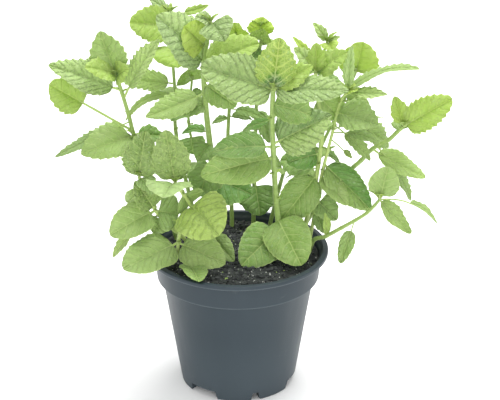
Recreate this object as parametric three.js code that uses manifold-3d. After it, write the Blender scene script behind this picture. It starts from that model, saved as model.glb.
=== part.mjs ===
// Potted mint: a thin-walled nursery pot, its soil and sixteen leafy shoots.
// Millimetres, +Z up, the pot's base on z = 0 and its axis at x = y = 0.
import * as THREE from 'three';
import { mergeVertices } from 'three/addons/utils/BufferGeometryUtils.js';
import Module from 'manifold-3d';

const wasm = await Module();
wasm.setup();

// Driving dimensions
const POT_HEIGHT = 96;
const LIP_RADIUS = 60;
const LIP_HEIGHT = 2.8;
const LIP_INNER_RADIUS = 56.4;
const COLLAR_TOP_RADIUS = 55.5;
const COLLAR_FOOT_RADIUS = 54;
const COLLAR_HEIGHT = 16.8;
const BODY_TOP_RADIUS = 50.5;
const BASE_RADIUS = 38.4;
const WALL = 1.2;
const LIP_ROUND = 0.6;
const STEP_SLOPE = 0.4;
const LIP_FLARE_START = 0.5;
const POT_STEPS = 48;
const SOIL_STEPS = 24;

// Feet: recesses in the base's edge, with one narrow and two wide ones in each half turn
const FOOT_RECESS_HEIGHT = 6;
const FOOT_RECESS_INNER_RADIUS = 26;
const FOOT_RECESS_SLOPE = 1.6;
const CUT_PAST = 1;
const NARROW_RECESS_WIDTH = 7;
const WIDE_RECESS_WIDTH = 23;
const NARROW_RECESS_TURN = 17.7;
const WIDE_RECESS_TURN = 55.3;

// Shallow pockets under the lip
const POCKET_COUNT = 20;
const POCKET_WIDTH = 10;
const POCKET_HEIGHT = 1.5;
const POCKET_DEPTH = 0.7;

// Soil
const CLEARANCE = 0.3;
const SOIL_EDGE_Z = 90.5;
const SOIL_MOUND = 2.1;
const MOUND_SHARES = [0.7, 0.35, 0];

// Leaves and stems
const STEM_CORNER = 1.27;
const BLADE_THICKNESS = 0.8;
const NOTCH_DEPTH = 0.13;
const TOOTH_LEAN = 0.72;
const WIDEST_POWER = 0.7;
const OUTLINE_POWER = 0.7;
const PETIOLE_HALF_WIDTH = 0.9;
const PETIOLE_THICKNESS = 1.4;
const TANGENT_STEP = 0.01;
const STEEP = 0.7;
const STEM_TENSION = 0.5;
const USUAL_ARCH = 0.08;
const USUAL_FOLD = 15;
const USUAL_PETIOLE = 0.12;
const SAME_POINT = 1e-4;

// Teeth on each side of a blade: [longest blade, teeth]
const TEETH_BY_LENGTH = [[20, 2], [30, 3], [46, 4], [Infinity, 5]];

// Materials
const POT_COLOUR = 0x525b61;
const SOIL_COLOUR = 0x383e3c;
const LEAF_COLOUR = 0x8ab85f;

// Each shoot has its stem's points from the root up, the stem's radius at the root and at the top,
// and its leaves. A leaf is [point on the stem, reach from there to the tip, width, where its upper
// face looks, arch as a share of its length, fold in degrees, petiole as a share of the reach, power
// of its outline]. A low power makes the leaf's outline full and blunt.
const SHOOTS = {
  "left_tall": {
    "stem": [
      [-38, 24, 76], [-48, 23, 114], [-60, 20, 142], [-68, 16, 169], [-71, 14, 184],
      [-75, 12, 201], [-78, 10, 213]
    ],
    "radius": [1.7, 1.2],
    "leaves": {
      "L1": [6, [-10, 4, 29], 26, [-0.1, -1, 0.2], 0.06, 12, 0.06],
      "L2": [6, [-19, -12, 10], 19, [0.1, -0.6, 0.8], 0.06, 15, 0.06, 0.55],
      "L2b": [6, [9, -9, 8], 17, [-0.2, -0.8, 0.5], 0.08, 15, 0.04, 0.55],
      "L3": [5.1, [-45.5, -8, 20.3], 25, [0, -0.7, 0.8], 0],
      "L4": [3.2, [-52.5, -9, 36], 25, [0, -1, 0.5], 0.03, 8, 0.6, 0.5],
      "L5": [4.7, [25, -6, 43], 19, [-0.5, -0.6, 0.5], 0.05, 15, 0.2],
      "L6a": [3.7, [-51, 4, -27], 12, [0, -0.5, 0.8], 0.01, 12, 0.2],
      "L6b": [3, [-34, -15, -7], 28, [0, -0.7, 0.7], 0.04, 15, 0.08],
      "M1": [3, [20, 2, -1], 15, [0, -0.6, 0.8], 0.04],
      "M1b": [3, [-9, -2, -6], 10, [0, -0.6, 0.8]]
    }
  },
  "back_left_tall": {
    "stem": [
      [-24, 37, 76], [-35, 42, 123], [-42, 46, 160], [-42, 50, 181], [-44, 56, 214],
      [-45, 60, 239]
    ],
    "radius": [1.5, 0.9],
    "leaves": {
      "T1": [5, [-14, 6, 8], 9, [0.3, -0.7, 0.6], 0.04],
      "T7": [5, [26, 0, 5.5], 8, [0, -0.6, 0.8], -0.12, 15, 0.35],
      "T2": [4.65, [-27, -6, 4.2], 26, [0.2, -0.9, 0.4], 0.04, 12, 0.02, 0.5],
      "T3": [4.1, [5, -20, -8], 37, [0, -0.5, 0.9], 0.06, 12, 0.06, 0.6],
      "B5": [4, [6, 28, -2], 22, [0, 0.2, 1]],
      "L7": [3.35, [-41, 2, 5.5], 15, [0, -0.9, 0.4], 0.02, 12, 0.1, 0.55],
      "L8": [3.1, [-33.5, -8, -15.5], 8, [-0.1, -0.5, 0.9], 0.27, 12, 0.06],
      "B8": [3, [-16, 28, -6], 24, [0, 0.2, 1]],
      "U4": [2.6, [13, -17, 5], 20, [0, -0.7, 0.7]]
    }
  },
  "back_left_short": {
    "stem": [[-16, 41, 76], [-24, 56, 119], [-34, 72, 154], [-32, 84, 182]],
    "radius": [1.2, 0.8],
    "leaves": {
      "U1": [3, [-2, -8, 12], 25, [0, -0.8, 0.6], 0.06, 12, 0.1, 0.65],
      "U2": [2.6, [9, -8, 5], 14, [0, -0.6, 0.8], 0.06, 12, 0.05, 0.5],
      "U6": [1.8, [2, -12, -9], 20, [0, -0.8, 0.6]],
      "B2a": [2.4, [3, 24, 2], 18, [0, 0.2, 1]]
    }
  },
  "centre_left_tall": {
    "stem": [
      [-12, 26, 76], [-16, 23, 125], [-18, 20, 156], [-21, 14, 192], [-22, 12, 215],
      [-21, 10, 232], [-17, 8, 250]
    ],
    "radius": [2.5, 1.1],
    "leaves": {
      "T4": [4.4, [-29, -12, 35], 34, [0.2, -0.7, 0.6], 0.05, 16, 0.05, 0.55],
      "T6": [5.1, [-13, -8, 15.5], 28, [0.3, -0.9, 0.3], 0.04, 12, 0.06, 0.5],
      "T8": [6, [9, -14, -8], 25, [0.1, -0.8, 0.6]],
      "T8b": [6, [-10, -2, 4], 12, [0, -0.5, 0.9]],
      "T10": [3.9, [36, -8, 24], 33, [0, -0.5, 0.9], 0.08, 12, 0.02, 0.5],
      "U3": [3.3, [-38, -10, -13], 21, [0, -0.6, 0.8], -0.04],
      "D1": [2.4, [-18, 4, -3], 12, [0, -0.2, 1], 0.15],
      "D2": [1.8, [-8, -10, -22], 27, [0, -1, 0.4]],
      "D3": [1.3, [26, -8, -8], 32, [0, -0.8, 0.6]],
      "D3b": [1.3, [-17, 4, 4], 20, [0, -0.8, 0.6]],
      "D11": [3.6, [21, -8, -13], 20, [0, -0.8, 0.5], 0.06, 12, 0.1, 0.6],
      "D12": [2.2, [-8, -10, -9], 18, [0, -0.8, 0.5]],
      "U3b": [3, [-20, -2, -4], 15, [0, -0.8, 0.6], 0.08, 15, 0.02, 0.5]
    }
  },
  "centre_back": {
    "stem": [
      [-4, 38, 76], [-5, 46, 118], [-7, 52, 149], [-6, 61, 172], [-4, 72, 201],
      [-1, 78, 215]
    ],
    "radius": [1.5, 0.9],
    "leaves": {
      "T9": [5, [-1, -8, 12], 18, [0, -0.8, 0.5]],
      "T9b": [5, [-9, -2, 9], 18, [0, -0.8, 0.5]],
      "T9c": [4, [-14, 18, 4], 20, [0, 0, 1]],
      "D7": [2.95, [24, -14, -2], 9, [0, -0.5, 0.9], 0.08, 12, 0.2],
      "T9d": [3.4, [16, 14, -4], 20, [0, 0.1, 1]],
      "D8b": [2.75, [16, 4, -4], 9, [0, -0.4, 1], 0.08],
      "D8c": [2.7, [-11.5, 2, -5], 7, [0, -0.5, 1], 0.1, 15, 0.06]
    }
  },
  "back_thin": {
    "stem": [
      [10, 42, 76], [11, 48, 125], [12, 56, 163], [13, 64, 193], [15, 70, 213],
      [15, 74, 224]
    ],
    "radius": [1.5, 0.8],
    "leaves": {
      "T12": [4.4, [0, 4, 13], 19, [0, -1, 0.2], 0.06, 12, 0.1, 0.65],
      "T13": [4.2, [2, -10, 12], 18, [0, -0.9, 0.5]],
      "T11": [4, [-10, -8, -13], 16, [0, -0.8, 0.6]],
      "T11b": [4, [14, 6, -2], 16, [0, 0, 1]],
      "V7": [2.3, [9, -6, -24], 13, [0.3, -0.9, 0.3]],
      "D4": [1, [4, -16, -21], 28, [0, -1, 0.5], 0.06, 12, 0.22, 0.6],
      "D4b": [1, [-14, 20, 4], 24, [0, 0.1, 1]],
      "D4c": [3, [-4, 26, 0], 22, [0, 0.2, 1]],
      "D4d": [2, [8, 22, -8], 20, [0, 0.1, 1]]
    }
  },
  "front_centre": {
    "stem": [
      [31, 6, 76], [27, 3, 110], [25, 1, 130], [24, -3, 149], [23, -8, 169],
      [22, -14, 192], [22.5, -20, 215]
    ],
    "radius": [1.9, 1.5],
    "leaves": {
      "V1": [6, [-45, -14, 20], 33, [0, -0.8, 0.6], -0.01, 12, 0.03, 0.46],
      "V2": [6, [4, 4, 33], 27, [0, -1, 0.1], 0.05, 10, 0.06, 0.62],
      "V3": [6, [25, 2, 15], 18, [-0.2, -0.7, 0.6], 0.03],
      "V4": [6, [47, -16, 5], 26, [0, -0.5, 0.85], 0, 6, 0.04],
      "V5": [5.5, [26, 2, -9], 24, [0, -0.7, 0.7], 0.08, 15, 0.04, 0.55],
      "V6": [4.2, [37, -8, 23], 32, [-0.2, -0.9, 0.4], 0.05, 12, 0.1, 0.7],
      "C3a": [4.1, [-40, -2, -3], 22, [0, -0.6, 0.8]],
      "C3b": [3.7, [-47, -14, -7], 29, [0, -0.8, 0.6], 0.05, 12, 0.06, 0.62],
      "C1": [0.9, [-25, -28, -13], 30, [0, -0.8, 0.6], 0.06, 8, 0.08, 0.55],
      "C2": [1.2, [15, -31, -19], 32, [0, -0.8, 0.6], 0.03, 8, 0.04, 0.5],
      "D8": [5, [-19, 4, -9.5], 8, [0, -0.6, 0.8], 0.06, 15, 0.1]
    }
  },
  "right_tall": {
    "stem": [
      [41, 19, 76], [47, 18, 113], [50, 16, 126], [53, 14, 149], [55, 10, 172],
      [52, 8, 197], [50, 6, 217]
    ],
    "radius": [1.6, 1.1],
    "leaves": {
      "W3": [6, [20, -5, 15], 18, [0, -0.7, 0.7], 0.06, 12, 0.04, 0.55],
      "W1": [6, [-15, 0, 24], 8, [0.5, -0.6, 0.4], 0.08, 15, 0.3],
      "W2": [6, [-14.5, -7, 19], 14, [0.3, -0.7, 0.5]],
      "W7": [5.6, [18, 2, -4], 17, [0, -0.5, 0.9]],
      "D6": [3.4, [-22, -4, -5], 20, [0, -0.8, 0.5]],
      "D5": [3, [-25, 8, 0], 26, [0, -0.7, 0.7]],
      "BB1": [2.7, [-25, -7, -32], 26, [0, -1, 0.4], 0.06, 12, 0.06, 0.6],
      "BB1b": [2.9, [-22, -2, -7], 6, [0, 0, 1]],
      "F5": [4, [0, 20, 2], 16, [0, 0.2, 1]],
      "F6": [2.5, [-14, 12, 2], 18, [0, 0.2, 1]],
      "W14b": [5.2, [16, 9, -21], 22, [0, -1, 0.1], 0.02, 5],
      "W3b": [6, [0, -6, 22], 14, [0, -0.9, 0.5], 0.06, 12, 0.04, 0.55]
    }
  },
  "right_slender": {
    "stem": [
      [45, 9, 76], [53, 12, 128], [56, 12, 146], [59, 10, 161], [62, 8, 176],
      [66, 6, 196], [71, 5, 204]
    ],
    "radius": [1.1, 0.8],
    "leaves": {
      "X1": [6, [2, 0, 32], 9, [-0.4, -0.9, 0.1], 0.04, 15],
      "X3": [6, [46, 4, 14.2], 12, [0, -0.1, 1], 0.13, 10, 0.06, 0.32],
      "X4": [6, [25, -8, 1], 12, [0, -0.4, 0.9], 0.0, 8],
      "X6": [6, [6, -6, 3], 10, [0, -0.5, 0.8]],
      "Y1a": [4.6, [26, -10, -4], 26, [0, -0.6, 0.8], 0.04, 15, 0.05, 0.55],
      "Y1b": [4.5, [37, 26, -32], 19, [0.3, -0.7, 0.6], 0.08, 15, 0.3],
      "Y2": [4, [34, 10, 5], 12, [0, 0.38, 1]],
      "Y3": [3.9, [28, -10, -2], 11, [0, -0.5, 0.9], 0.1, 15, 0.35],
      "Y4": [4.2, [24, -4, -23.5], 12, [0.3, -0.6, 0.6], 0.08, 15, 0.25],
      "AA5": [2.3, [31, -2, -32], 23, [0.2, -0.9, 0.3], 0.04, 15, 0.05, 0.6],
      "AA4": [1.7, [17, -12, -16], 15, [0.3, -0.8, 0.5], 0.06, 15, 0.04, 0.6],
      "AA3": [0.9, [13, -14, -8], 18, [0, -0.7, 0.6]],
      "AA9": [2.75, [9, 6, -8], 11, [0, -0.4, 0.9]],
      "Y5": [3.6, [14, -4, -12], 5, [0.3, -0.6, 0.6], 0.02, 15, 0.6],
      "AA2": [0.75, [6, -4, -15], 9, [0, -0.95, 0.2]]
    }
  },
  "right_arching": {
    "stem": [
      [35, 28, 76], [48, 30, 104], [60, 24, 122], [74, 16, 144], [81, 12, 153],
      [88, 8, 163], [98, 4, 171], [103, 2, 177], [107, 0, 182]
    ],
    "radius": [1.6, 1.2],
    "leaves": {
      "Z1": [8, [30.5, -6, 21.5], 22.5, [-0.2, -0.9, 0.4], 0.05, 12, 0.06, 0.5],
      "X5": [8, [-6, 5, 19], 13, [0.1, -1, 0.2]],
      "Z2": [5, [35, -6, -18], 18, [0.3, -0.6, 0.8], -0.04, 12, 0.12, 0.65],
      "Z3": [5.3, [24, 6, -42], 15, [0.7, -0.4, 0.5], 0.04, 15, 0.45],
      "H7": [7, [10, 14, 2], 16, [0, 0.2, 1]],
      "H8": [2, [14, 14, -8], 22, [0, 0.2, 1]]
    }
  },
  "right_trailing": {
    "stem": [
      [46, 0, 76], [49, 0, 99], [58, -4, 105.5], [68, -8, 113.5], [77, -11, 120.5],
      [84, -13, 126.5], [89, -15, 133], [92, -16, 137.5]
    ],
    "radius": [1.5, 0.9],
    "leaves": {
      "Z4": [7, [5, 4, 21.5], 21, [0, -1, 0.1], 0.03, 10, 0.12, 0.5],
      "Z5": [7, [21, -4, -22.5], 15, [0.5, -0.6, 0.6], -0.04, 12, 0.06, 0.6],
      "Z6": [7, [38, -2, -17], 13, [0.2, 0, 1], 0.15, 15, 0.45, 0.6],
      "Z7": [3.9, [-9, -6, -28], 11, [-0.3, -0.9, 0.2], -0.05, 15, 0.24, 0.5],
      "AA1": [2, [-1, -2, 18], 7, [0.5, -0.8, 0.1]]
    }
  },
  "left_low": {
    "stem": [
      [-28, 2, 76], [-33, 0, 98], [-43, -2, 110], [-49, -4, 118], [-54, -6, 125],
      [-60, -7, 138], [-64, -8, 150]
    ],
    "radius": [1.4, 1],
    "leaves": {
      "M7": [4, [-29, -14, -11.5], 25.5, [-0.1, -0.7, 0.7], 0.06, 12, 0.1, 0.55],
      "M6": [4, [-13, -2, 22], 19, [0.3, -0.9, 0.3]],
      "M8": [4, [-29, 0, -34], 9, [0, -0.5, 0.8], 0.08, 15, 0.5],
      "M2": [6, [5, 3, 31], 26, [-0.1, -1, 0.2], 0.04, 12, 0.02, 0.65],
      "M5": [6, [10, -10, -8], 15, [0, -0.3, 1]],
      "M10": [4, [15, 4, -5], 28, [0, -0.8, 0.6]],
      "M12": [5.3, [-11.5, 8, -14], 13, [0, -1, 0.2]],
      "M13": [3, [-7, -6, -7], 16, [0, -0.8, 0.6]]
    }
  },
  "left_front": {
    "stem": [[-33, -20, 76], [-34, -19, 93], [-39, -17, 98], [-39, -15, 106], [-37, -14, 118]],
    "radius": [1.5, 1.1],
    "leaves": {
      "N1": [3, [-34.5, -26, -6.7], 30, [0, -0.5, 0.85], 0.02, 6, 0.1, 0.52],
      "N2": [3, [31, -18, -7], 27, [0, -0.7, 0.7], 0.04, 10, 0.1, 0.6],
      "N4": [1, [9.5, -38, 5.5], 19, [0.1, 0.1, 1], 0.05, 12, 0.28, 0.5]
    }
  },
  "front_left": {
    "stem": [[-18, 4, 76], [-24, -4, 115], [-31, -12, 132], [-35, -16, 141], [-40, -20, 151]],
    "radius": [1.5, 1.1],
    "leaves": {
      "M9": [2, [19, -27, -10], 38, [0, -0.8, 0.6], 0.08, 8, 0.08, 0.5],
      "M4": [4, [-7, -22, -1], 32, [-0.1, -0.1, 1], 0.06, 10],
      "M3": [4, [-6, 4, 35], 26, [0.1, -1, 0.1], 0.05, 12, 0.08, 0.62],
      "M3b": [4, [14, 10, 10], 14, [0, 0, 1]],
      "N3": [0.9, [21, -19, -16], 16, [0, -0.8, 0.5], 0.04, 12, 0.3],
      "M11": [3.2, [4, 12, -14], 24, [0, -0.8, 0.6]]
    }
  },
  "back_right_tall": {
    "stem": [[18, 41, 76], [28, 48, 118], [40, 56, 157], [53, 65, 196], [60, 70, 215]],
    "radius": [1.4, 0.8],
    "leaves": {
      "W5": [4, [3, -10, -3], 14, [0, -0.5, 0.9]],
      "W4": [4, [-10, 0, 14], 9, [0.4, -0.8, 0.4]],
      "W9": [3, [-16, -2, 2], 20, [0, -0.3, 1]],
      "W10": [3, [14, 12, 2], 22, [0, 0.1, 1]],
      "W11": [2, [18, -6, -2], 24, [0, -0.3, 1]],
      "W12": [2, [-15, 16, -4], 22, [0, 0.1, 1]],
      "W14": [1.3, [-14, -4, 4], 24, [0, -0.2, 1]],
      "W6": [4, [9, 0, 4], 5, [0, -0.6, 0.8]]
    }
  },
  "far_right_back": {
    "stem": [[27, 36, 76], [40, 44, 112], [56, 50, 147], [71, 56, 178], [79, 60, 197]],
    "radius": [1.3, 0.8],
    "leaves": {
      "X2": [4, [4, -6, 24], 29, [0, -1, 0.2], 0.05, 10, 0.04, 0.5],
      "X7": [4, [14, 8, 4], 18, [0, 0, 1]],
      "X8": [4, [-12, 6, 6], 18, [0, -0.3, 1]],
      "X9": [3, [18, 4, -4], 24, [0, -0.3, 1]],
      "X12": [2, [-6, -14, -4], 22, [0, -0.2, 1]]
    }
  }
};

// Solids from plain lists of points and triangles
function solid(points, triangles) {
  const mesh = new wasm.Mesh({
    numProp: 3,
    vertProperties: new Float32Array(points.flat()),
    triVerts: new Uint32Array(triangles.flat()),
  });
  return new wasm.Manifold(mesh);
}

function solidFromGeometry(geometry, turn = new THREE.Matrix4()) {
  const bare = geometry.clone();
  bare.deleteAttribute('normal');
  bare.deleteAttribute('uv');
  bare.applyMatrix4(turn);
  const merged = mergeVertices(bare, SAME_POINT);
  const mesh = new wasm.Mesh({
    numProp: 3,
    vertProperties: new Float32Array(merged.attributes.position.array),
    triVerts: new Uint32Array(merged.index.array),
  });
  return new wasm.Manifold(mesh);
}

function geometryFromSolid(shape) {
  const { vertProperties, triVerts } = shape.getMesh();
  const geometry = new THREE.BufferGeometry();
  geometry.setAttribute('position', new THREE.BufferAttribute(Float32Array.from(vertProperties), 3));
  geometry.setIndex(new THREE.BufferAttribute(Uint32Array.from(triVerts), 1));
  geometry.computeVertexNormals();
  return geometry;
}

// The one body of a joined shape: sealed hollows and loose scraps between leaves are left out
function mainBody(shape) {
  const pieces = shape.decompose();
  return pieces.reduce((largest, piece) => (piece.volume() > largest.volume() ? piece : largest));
}

// A round solid about the z axis, from a profile of [radius, z] that runs up the outside
function turned(profile, steps = POT_STEPS) {
  const points = profile.map(([radius, z]) => new THREE.Vector2(radius, z));
  const upright = new THREE.Matrix4().makeRotationX(Math.PI / 2);
  return solidFromGeometry(new THREE.LatheGeometry(points, steps), upright);
}

// A bar with a trapezoid end, lying along a spoke of the pot at the given turn from the front
function spokeBar(width, height, slope, from, to, z, turnDegrees) {
  const half = width / 2;
  const end = new THREE.Shape();
  end.moveTo(-half, 0);
  end.lineTo(half, 0);
  end.lineTo(half - slope, height);
  end.lineTo(-half + slope, height);
  end.closePath();
  const bar = new THREE.ExtrudeGeometry(end, { depth: to - from, bevelEnabled: false });
  const angle = THREE.MathUtils.degToRad(turnDegrees);
  const place = new THREE.Matrix4()
    .makeRotationZ(angle)
    .multiply(new THREE.Matrix4().makeTranslation(0, -from, z))
    .multiply(new THREE.Matrix4().makeRotationX(Math.PI / 2));
  return solidFromGeometry(bar, place);
}

// The recesses between the pot's feet, grown by the given margin
function footRecesses(margin) {
  const bars = [];
  for (const half of [0, 180]) {
    const turn = half + NARROW_RECESS_TURN;
    const places = [
      [NARROW_RECESS_WIDTH, turn],
      [WIDE_RECESS_WIDTH, turn - WIDE_RECESS_TURN],
      [WIDE_RECESS_WIDTH, turn + WIDE_RECESS_TURN],
    ];
    for (const [width, place] of places) {
      const bar = spokeBar(
        width + 2 * margin,
        FOOT_RECESS_HEIGHT + CUT_PAST + margin,
        FOOT_RECESS_SLOPE,
        FOOT_RECESS_INNER_RADIUS - margin,
        LIP_RADIUS,
        -CUT_PAST,
        place,
      );
      bars.push(bar);
    }
  }
  return wasm.Manifold.union(bars);
}

// The inside of the pot as a filled shape, with its skin drawn in by the given gap
function potInside(gap, top) {
  const collarFoot = POT_HEIGHT - LIP_HEIGHT - COLLAR_HEIGHT;
  const inside = WALL + gap;
  return [
    [0, inside],
    [BASE_RADIUS - inside, inside],
    [BODY_TOP_RADIUS - inside, collarFoot],
    [COLLAR_FOOT_RADIUS - inside, collarFoot + STEP_SLOPE + inside],
    ...top,
  ];
}

function makePot() {
  const lipFoot = POT_HEIGHT - LIP_HEIGHT;
  const collarFoot = lipFoot - COLLAR_HEIGHT;
  const outside = turned([
    [0, 0],
    [BASE_RADIUS, 0],
    [BODY_TOP_RADIUS, collarFoot],
    [COLLAR_FOOT_RADIUS, collarFoot + STEP_SLOPE],
    [COLLAR_TOP_RADIUS, lipFoot],
    [LIP_RADIUS, lipFoot],
    [LIP_RADIUS, POT_HEIGHT - LIP_ROUND],
    [LIP_RADIUS - LIP_ROUND, POT_HEIGHT],
    [0, POT_HEIGHT],
  ]);
  const cavity = turned(potInside(0, [
    [COLLAR_TOP_RADIUS - WALL, lipFoot - LIP_FLARE_START],
    [LIP_INNER_RADIUS, POT_HEIGHT],
    [LIP_INNER_RADIUS, POT_HEIGHT + CUT_PAST],
    [0, POT_HEIGHT + CUT_PAST],
  ]));
  const pockets = [];
  for (let i = 0; i < POCKET_COUNT; i += 1) {
    const turn = (360 / POCKET_COUNT) * i;
    const from = COLLAR_TOP_RADIUS - POCKET_DEPTH;
    const z = lipFoot - POCKET_HEIGHT;
    pockets.push(spokeBar(POCKET_WIDTH, POCKET_HEIGHT, 0, from, LIP_RADIUS, z, turn));
  }
  const shell = outside.subtract(cavity.subtract(footRecesses(WALL)));
  return shell.subtract(footRecesses(0)).subtract(wasm.Manifold.union(pockets));
}

function makeSoil() {
  const edge = COLLAR_TOP_RADIUS - WALL - 2 * CLEARANCE;
  const filling = turned(potInside(CLEARANCE, [
    [edge, SOIL_EDGE_Z],
    ...MOUND_SHARES.map((share) => [edge * share, SOIL_EDGE_Z + SOIL_MOUND * (1 - share * share)]),
  ]), SOIL_STEPS);
  const holes = Object.values(SHOOTS).map((shoot) => makeStem(shoot, CLEARANCE));
  return filling.subtract(footRecesses(WALL + CLEARANCE)).subtract(wasm.Manifold.union(holes));
}

// The stem's middle line. Its parameter counts the stem's points, from 0 at the root.
function stemLine(shoot) {
  const curve = new THREE.CatmullRomCurve3(
    shoot.stem.map((point) => new THREE.Vector3(...point)),
    false,
    'catmullrom',
    STEM_TENSION,
  );
  const last = shoot.stem.length - 1;
  return (at) => curve.getPoint(at / last);
}

// A closed square bar that joins square sections along a line
function squareBar(line, radii, from, to, rings) {
  const points = [];
  const triangles = [];
  const whole = line(to).sub(line(from)).normalize();
  const across = Math.abs(whole.y) > STEEP ? new THREE.Vector3(1, 0, 0) : new THREE.Vector3(0, 1, 0);
  for (let i = 0; i <= rings; i += 1) {
    const at = from + ((to - from) * i) / rings;
    const centre = line(at);
    const step = (to - from) * TANGENT_STEP;
    const ahead = line(Math.min(at + step, to)).sub(line(Math.max(at - step, from))).normalize();
    const aside = across.clone().cross(ahead).normalize();
    const back = ahead.clone().cross(aside);
    const radius = THREE.MathUtils.lerp(radii[0], radii[1], i / rings);
    for (let k = 0; k < 4; k += 1) {
      const angle = (k * Math.PI) / 2;
      const corner = centre
        .clone()
        .addScaledVector(aside, radius * Math.cos(angle))
        .addScaledVector(back, radius * Math.sin(angle));
      points.push(corner.toArray());
    }
  }
  for (let i = 0; i < rings; i += 1) {
    for (let k = 0; k < 4; k += 1) {
      const a = 4 * i + k;
      const b = 4 * i + ((k + 1) % 4);
      triangles.push([a, b, b + 4], [a, b + 4, a + 4]);
    }
  }
  const top = 4 * rings;
  triangles.push([0, 2, 1], [0, 3, 2], [top, top + 1, top + 2], [top, top + 2, top + 3]);
  return solid(points, triangles);
}

function makeStem(shoot, margin) {
  const line = stemLine(shoot);
  const last = shoot.stem.length - 1;
  const rootless = (at) => line(at).add(new THREE.Vector3(0, 0, at === 0 ? -margin : 0));
  const radii = shoot.radius.map((radius) => radius * STEM_CORNER + margin);
  return squareBar(rootless, radii, 0, last, last);
}

// A leaf's own frame: its middle line from the stem to the tip and the way its face looks
function leafFrame(shoot, row) {
  const [at, reachList, width, faceList, arch = USUAL_ARCH, fold = USUAL_FOLD, ...rest] = row;
  const [petiole = USUAL_PETIOLE, power = OUTLINE_POWER] = rest;
  const base = stemLine(shoot)(at);
  const reach = new THREE.Vector3(...reachList);
  const length = reach.length();
  const along = reach.clone().normalize();
  const face = new THREE.Vector3(...faceList);
  face.addScaledVector(along, -face.dot(along)).normalize();
  const line = (u) => base
    .clone()
    .addScaledVector(reach, u)
    .addScaledVector(face, arch * length * 4 * u * (1 - u));
  const upAt = (u) => {
    const ahead = reach.clone().addScaledVector(face, arch * length * 4 * (1 - 2 * u)).normalize();
    return face.clone().addScaledVector(ahead, -face.dot(ahead)).normalize();
  };
  const side = along.clone().cross(face);
  return { line, upAt, side, width, length, petiole, power, fold: THREE.MathUtils.degToRad(fold) };
}

// Half the blade's width at a share of its length, from 0 at its base to 1 at its tip
function halfWidth(frame, v) {
  return (frame.width / 2) * Math.sin(Math.PI * v ** WIDEST_POWER) ** frame.power;
}

// A petiole and its toothed blade, folded along the midrib, with the same triangles on both faces
function makeLeaf(shoot, row) {
  const frame = leafFrame(shoot, row);
  const bladeLength = frame.length * (1 - frame.petiole);
  const [, teeth] = TEETH_BY_LENGTH.find(([longest]) => bladeLength <= longest);
  const points = [];
  const addPoint = (u, across, thickness) => {
    const up = frame.upAt(u);
    const middle = frame
      .line(u)
      .addScaledVector(frame.side, across * Math.cos(frame.fold))
      .addScaledVector(up, Math.abs(across) * Math.sin(frame.fold));
    points.push(middle.clone().addScaledVector(up, thickness / 2).toArray());
    points.push(middle.clone().addScaledVector(up, -thickness / 2).toArray());
    return points.length - 2;
  };
  const onBlade = (v, across) => {
    const u = frame.petiole + (1 - frame.petiole) * v;
    return addPoint(u, across, BLADE_THICKNESS);
  };
  const rib = [];
  for (let i = 0; i <= teeth; i += 1) rib.push(onBlade(i / teeth, 0));
  const upper = [];
  const outline = [];
  const roots = [];
  for (const hand of [1, -1]) {
    const root = addPoint(0, hand * PETIOLE_HALF_WIDTH, PETIOLE_THICKNESS);
    const notch = [onBlade(0, hand * PETIOLE_HALF_WIDTH)];
    const tip = [];
    for (let i = 0; i < teeth; i += 1) {
      const tipAt = (i + TOOTH_LEAN) / teeth;
      const notchAt = (i + 1) / teeth;
      tip.push(onBlade(tipAt, hand * halfWidth(frame, tipAt)));
      if (i < teeth - 1) notch.push(onBlade(notchAt, hand * halfWidth(frame, notchAt) * (1 - NOTCH_DEPTH)));
    }
    const halves = [[root, notch[0], rib[0]]];
    for (let i = 0; i < teeth; i += 1) {
      halves.push([rib[i], notch[i], tip[i]], [rib[i], tip[i], rib[i + 1]]);
      if (i < teeth - 1) halves.push([rib[i + 1], tip[i], notch[i + 1]]);
    }
    for (const [a, b, c] of halves) upper.push(hand > 0 ? [a, b, c] : [a, c, b]);
    const border = [root];
    for (let i = 0; i < teeth; i += 1) border.push(notch[i], tip[i]);
    outline.push(...(hand > 0 ? [...border, rib[teeth]] : border.reverse()));
    roots.push(root);
  }
  upper.push([roots[1], roots[0], rib[0]]);
  const triangles = [];
  for (const [a, b, c] of upper) triangles.push([a, b, c], [a + 1, c + 1, b + 1]);
  for (let i = 0; i < outline.length; i += 1) {
    const a = outline[i];
    const b = outline[(i + 1) % outline.length];
    triangles.push([a, a + 1, b + 1], [a, b + 1, b]);
  }
  return solid(points, triangles);
}

function makeShoot(shoot) {
  const pieces = [makeStem(shoot, 0)];
  for (const row of Object.values(shoot.leaves)) pieces.push(makeLeaf(shoot, row));
  return mainBody(wasm.Manifold.union(pieces));
}

// Materials, and one named mesh for each piece
function plastic() {
  return new THREE.MeshStandardMaterial({ color: POT_COLOUR, roughness: 0.5, metalness: 0 });
}

function earth() {
  return new THREE.MeshStandardMaterial({ color: SOIL_COLOUR, roughness: 0.95, metalness: 0 });
}

function mintGreen() {
  return new THREE.MeshStandardMaterial({ color: LEAF_COLOUR, roughness: 0.6, metalness: 0 });
}

const pottedMint = new THREE.Group();

function addPiece(name, shape, material) {
  const mesh = new THREE.Mesh(geometryFromSolid(shape), material);
  mesh.name = name;
  pottedMint.add(mesh);
}

addPiece('pot', makePot(), plastic());
addPiece('soil', makeSoil(), earth());
for (const [name, shoot] of Object.entries(SHOOTS)) {
  addPiece(`shoot_${name}`, makeShoot(shoot), mintGreen());
}

export default pottedMint;
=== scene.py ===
"""The potted mint, dressed: a thin nursery pot, its soil and sixteen leafy shoots.
Metres, +Z up, the pot's base on z = 0. Millimetres in the tables, as in the part's source."""

import math
import random

import bpy
import numpy as np
from mathutils import Matrix, Vector, noise


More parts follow.
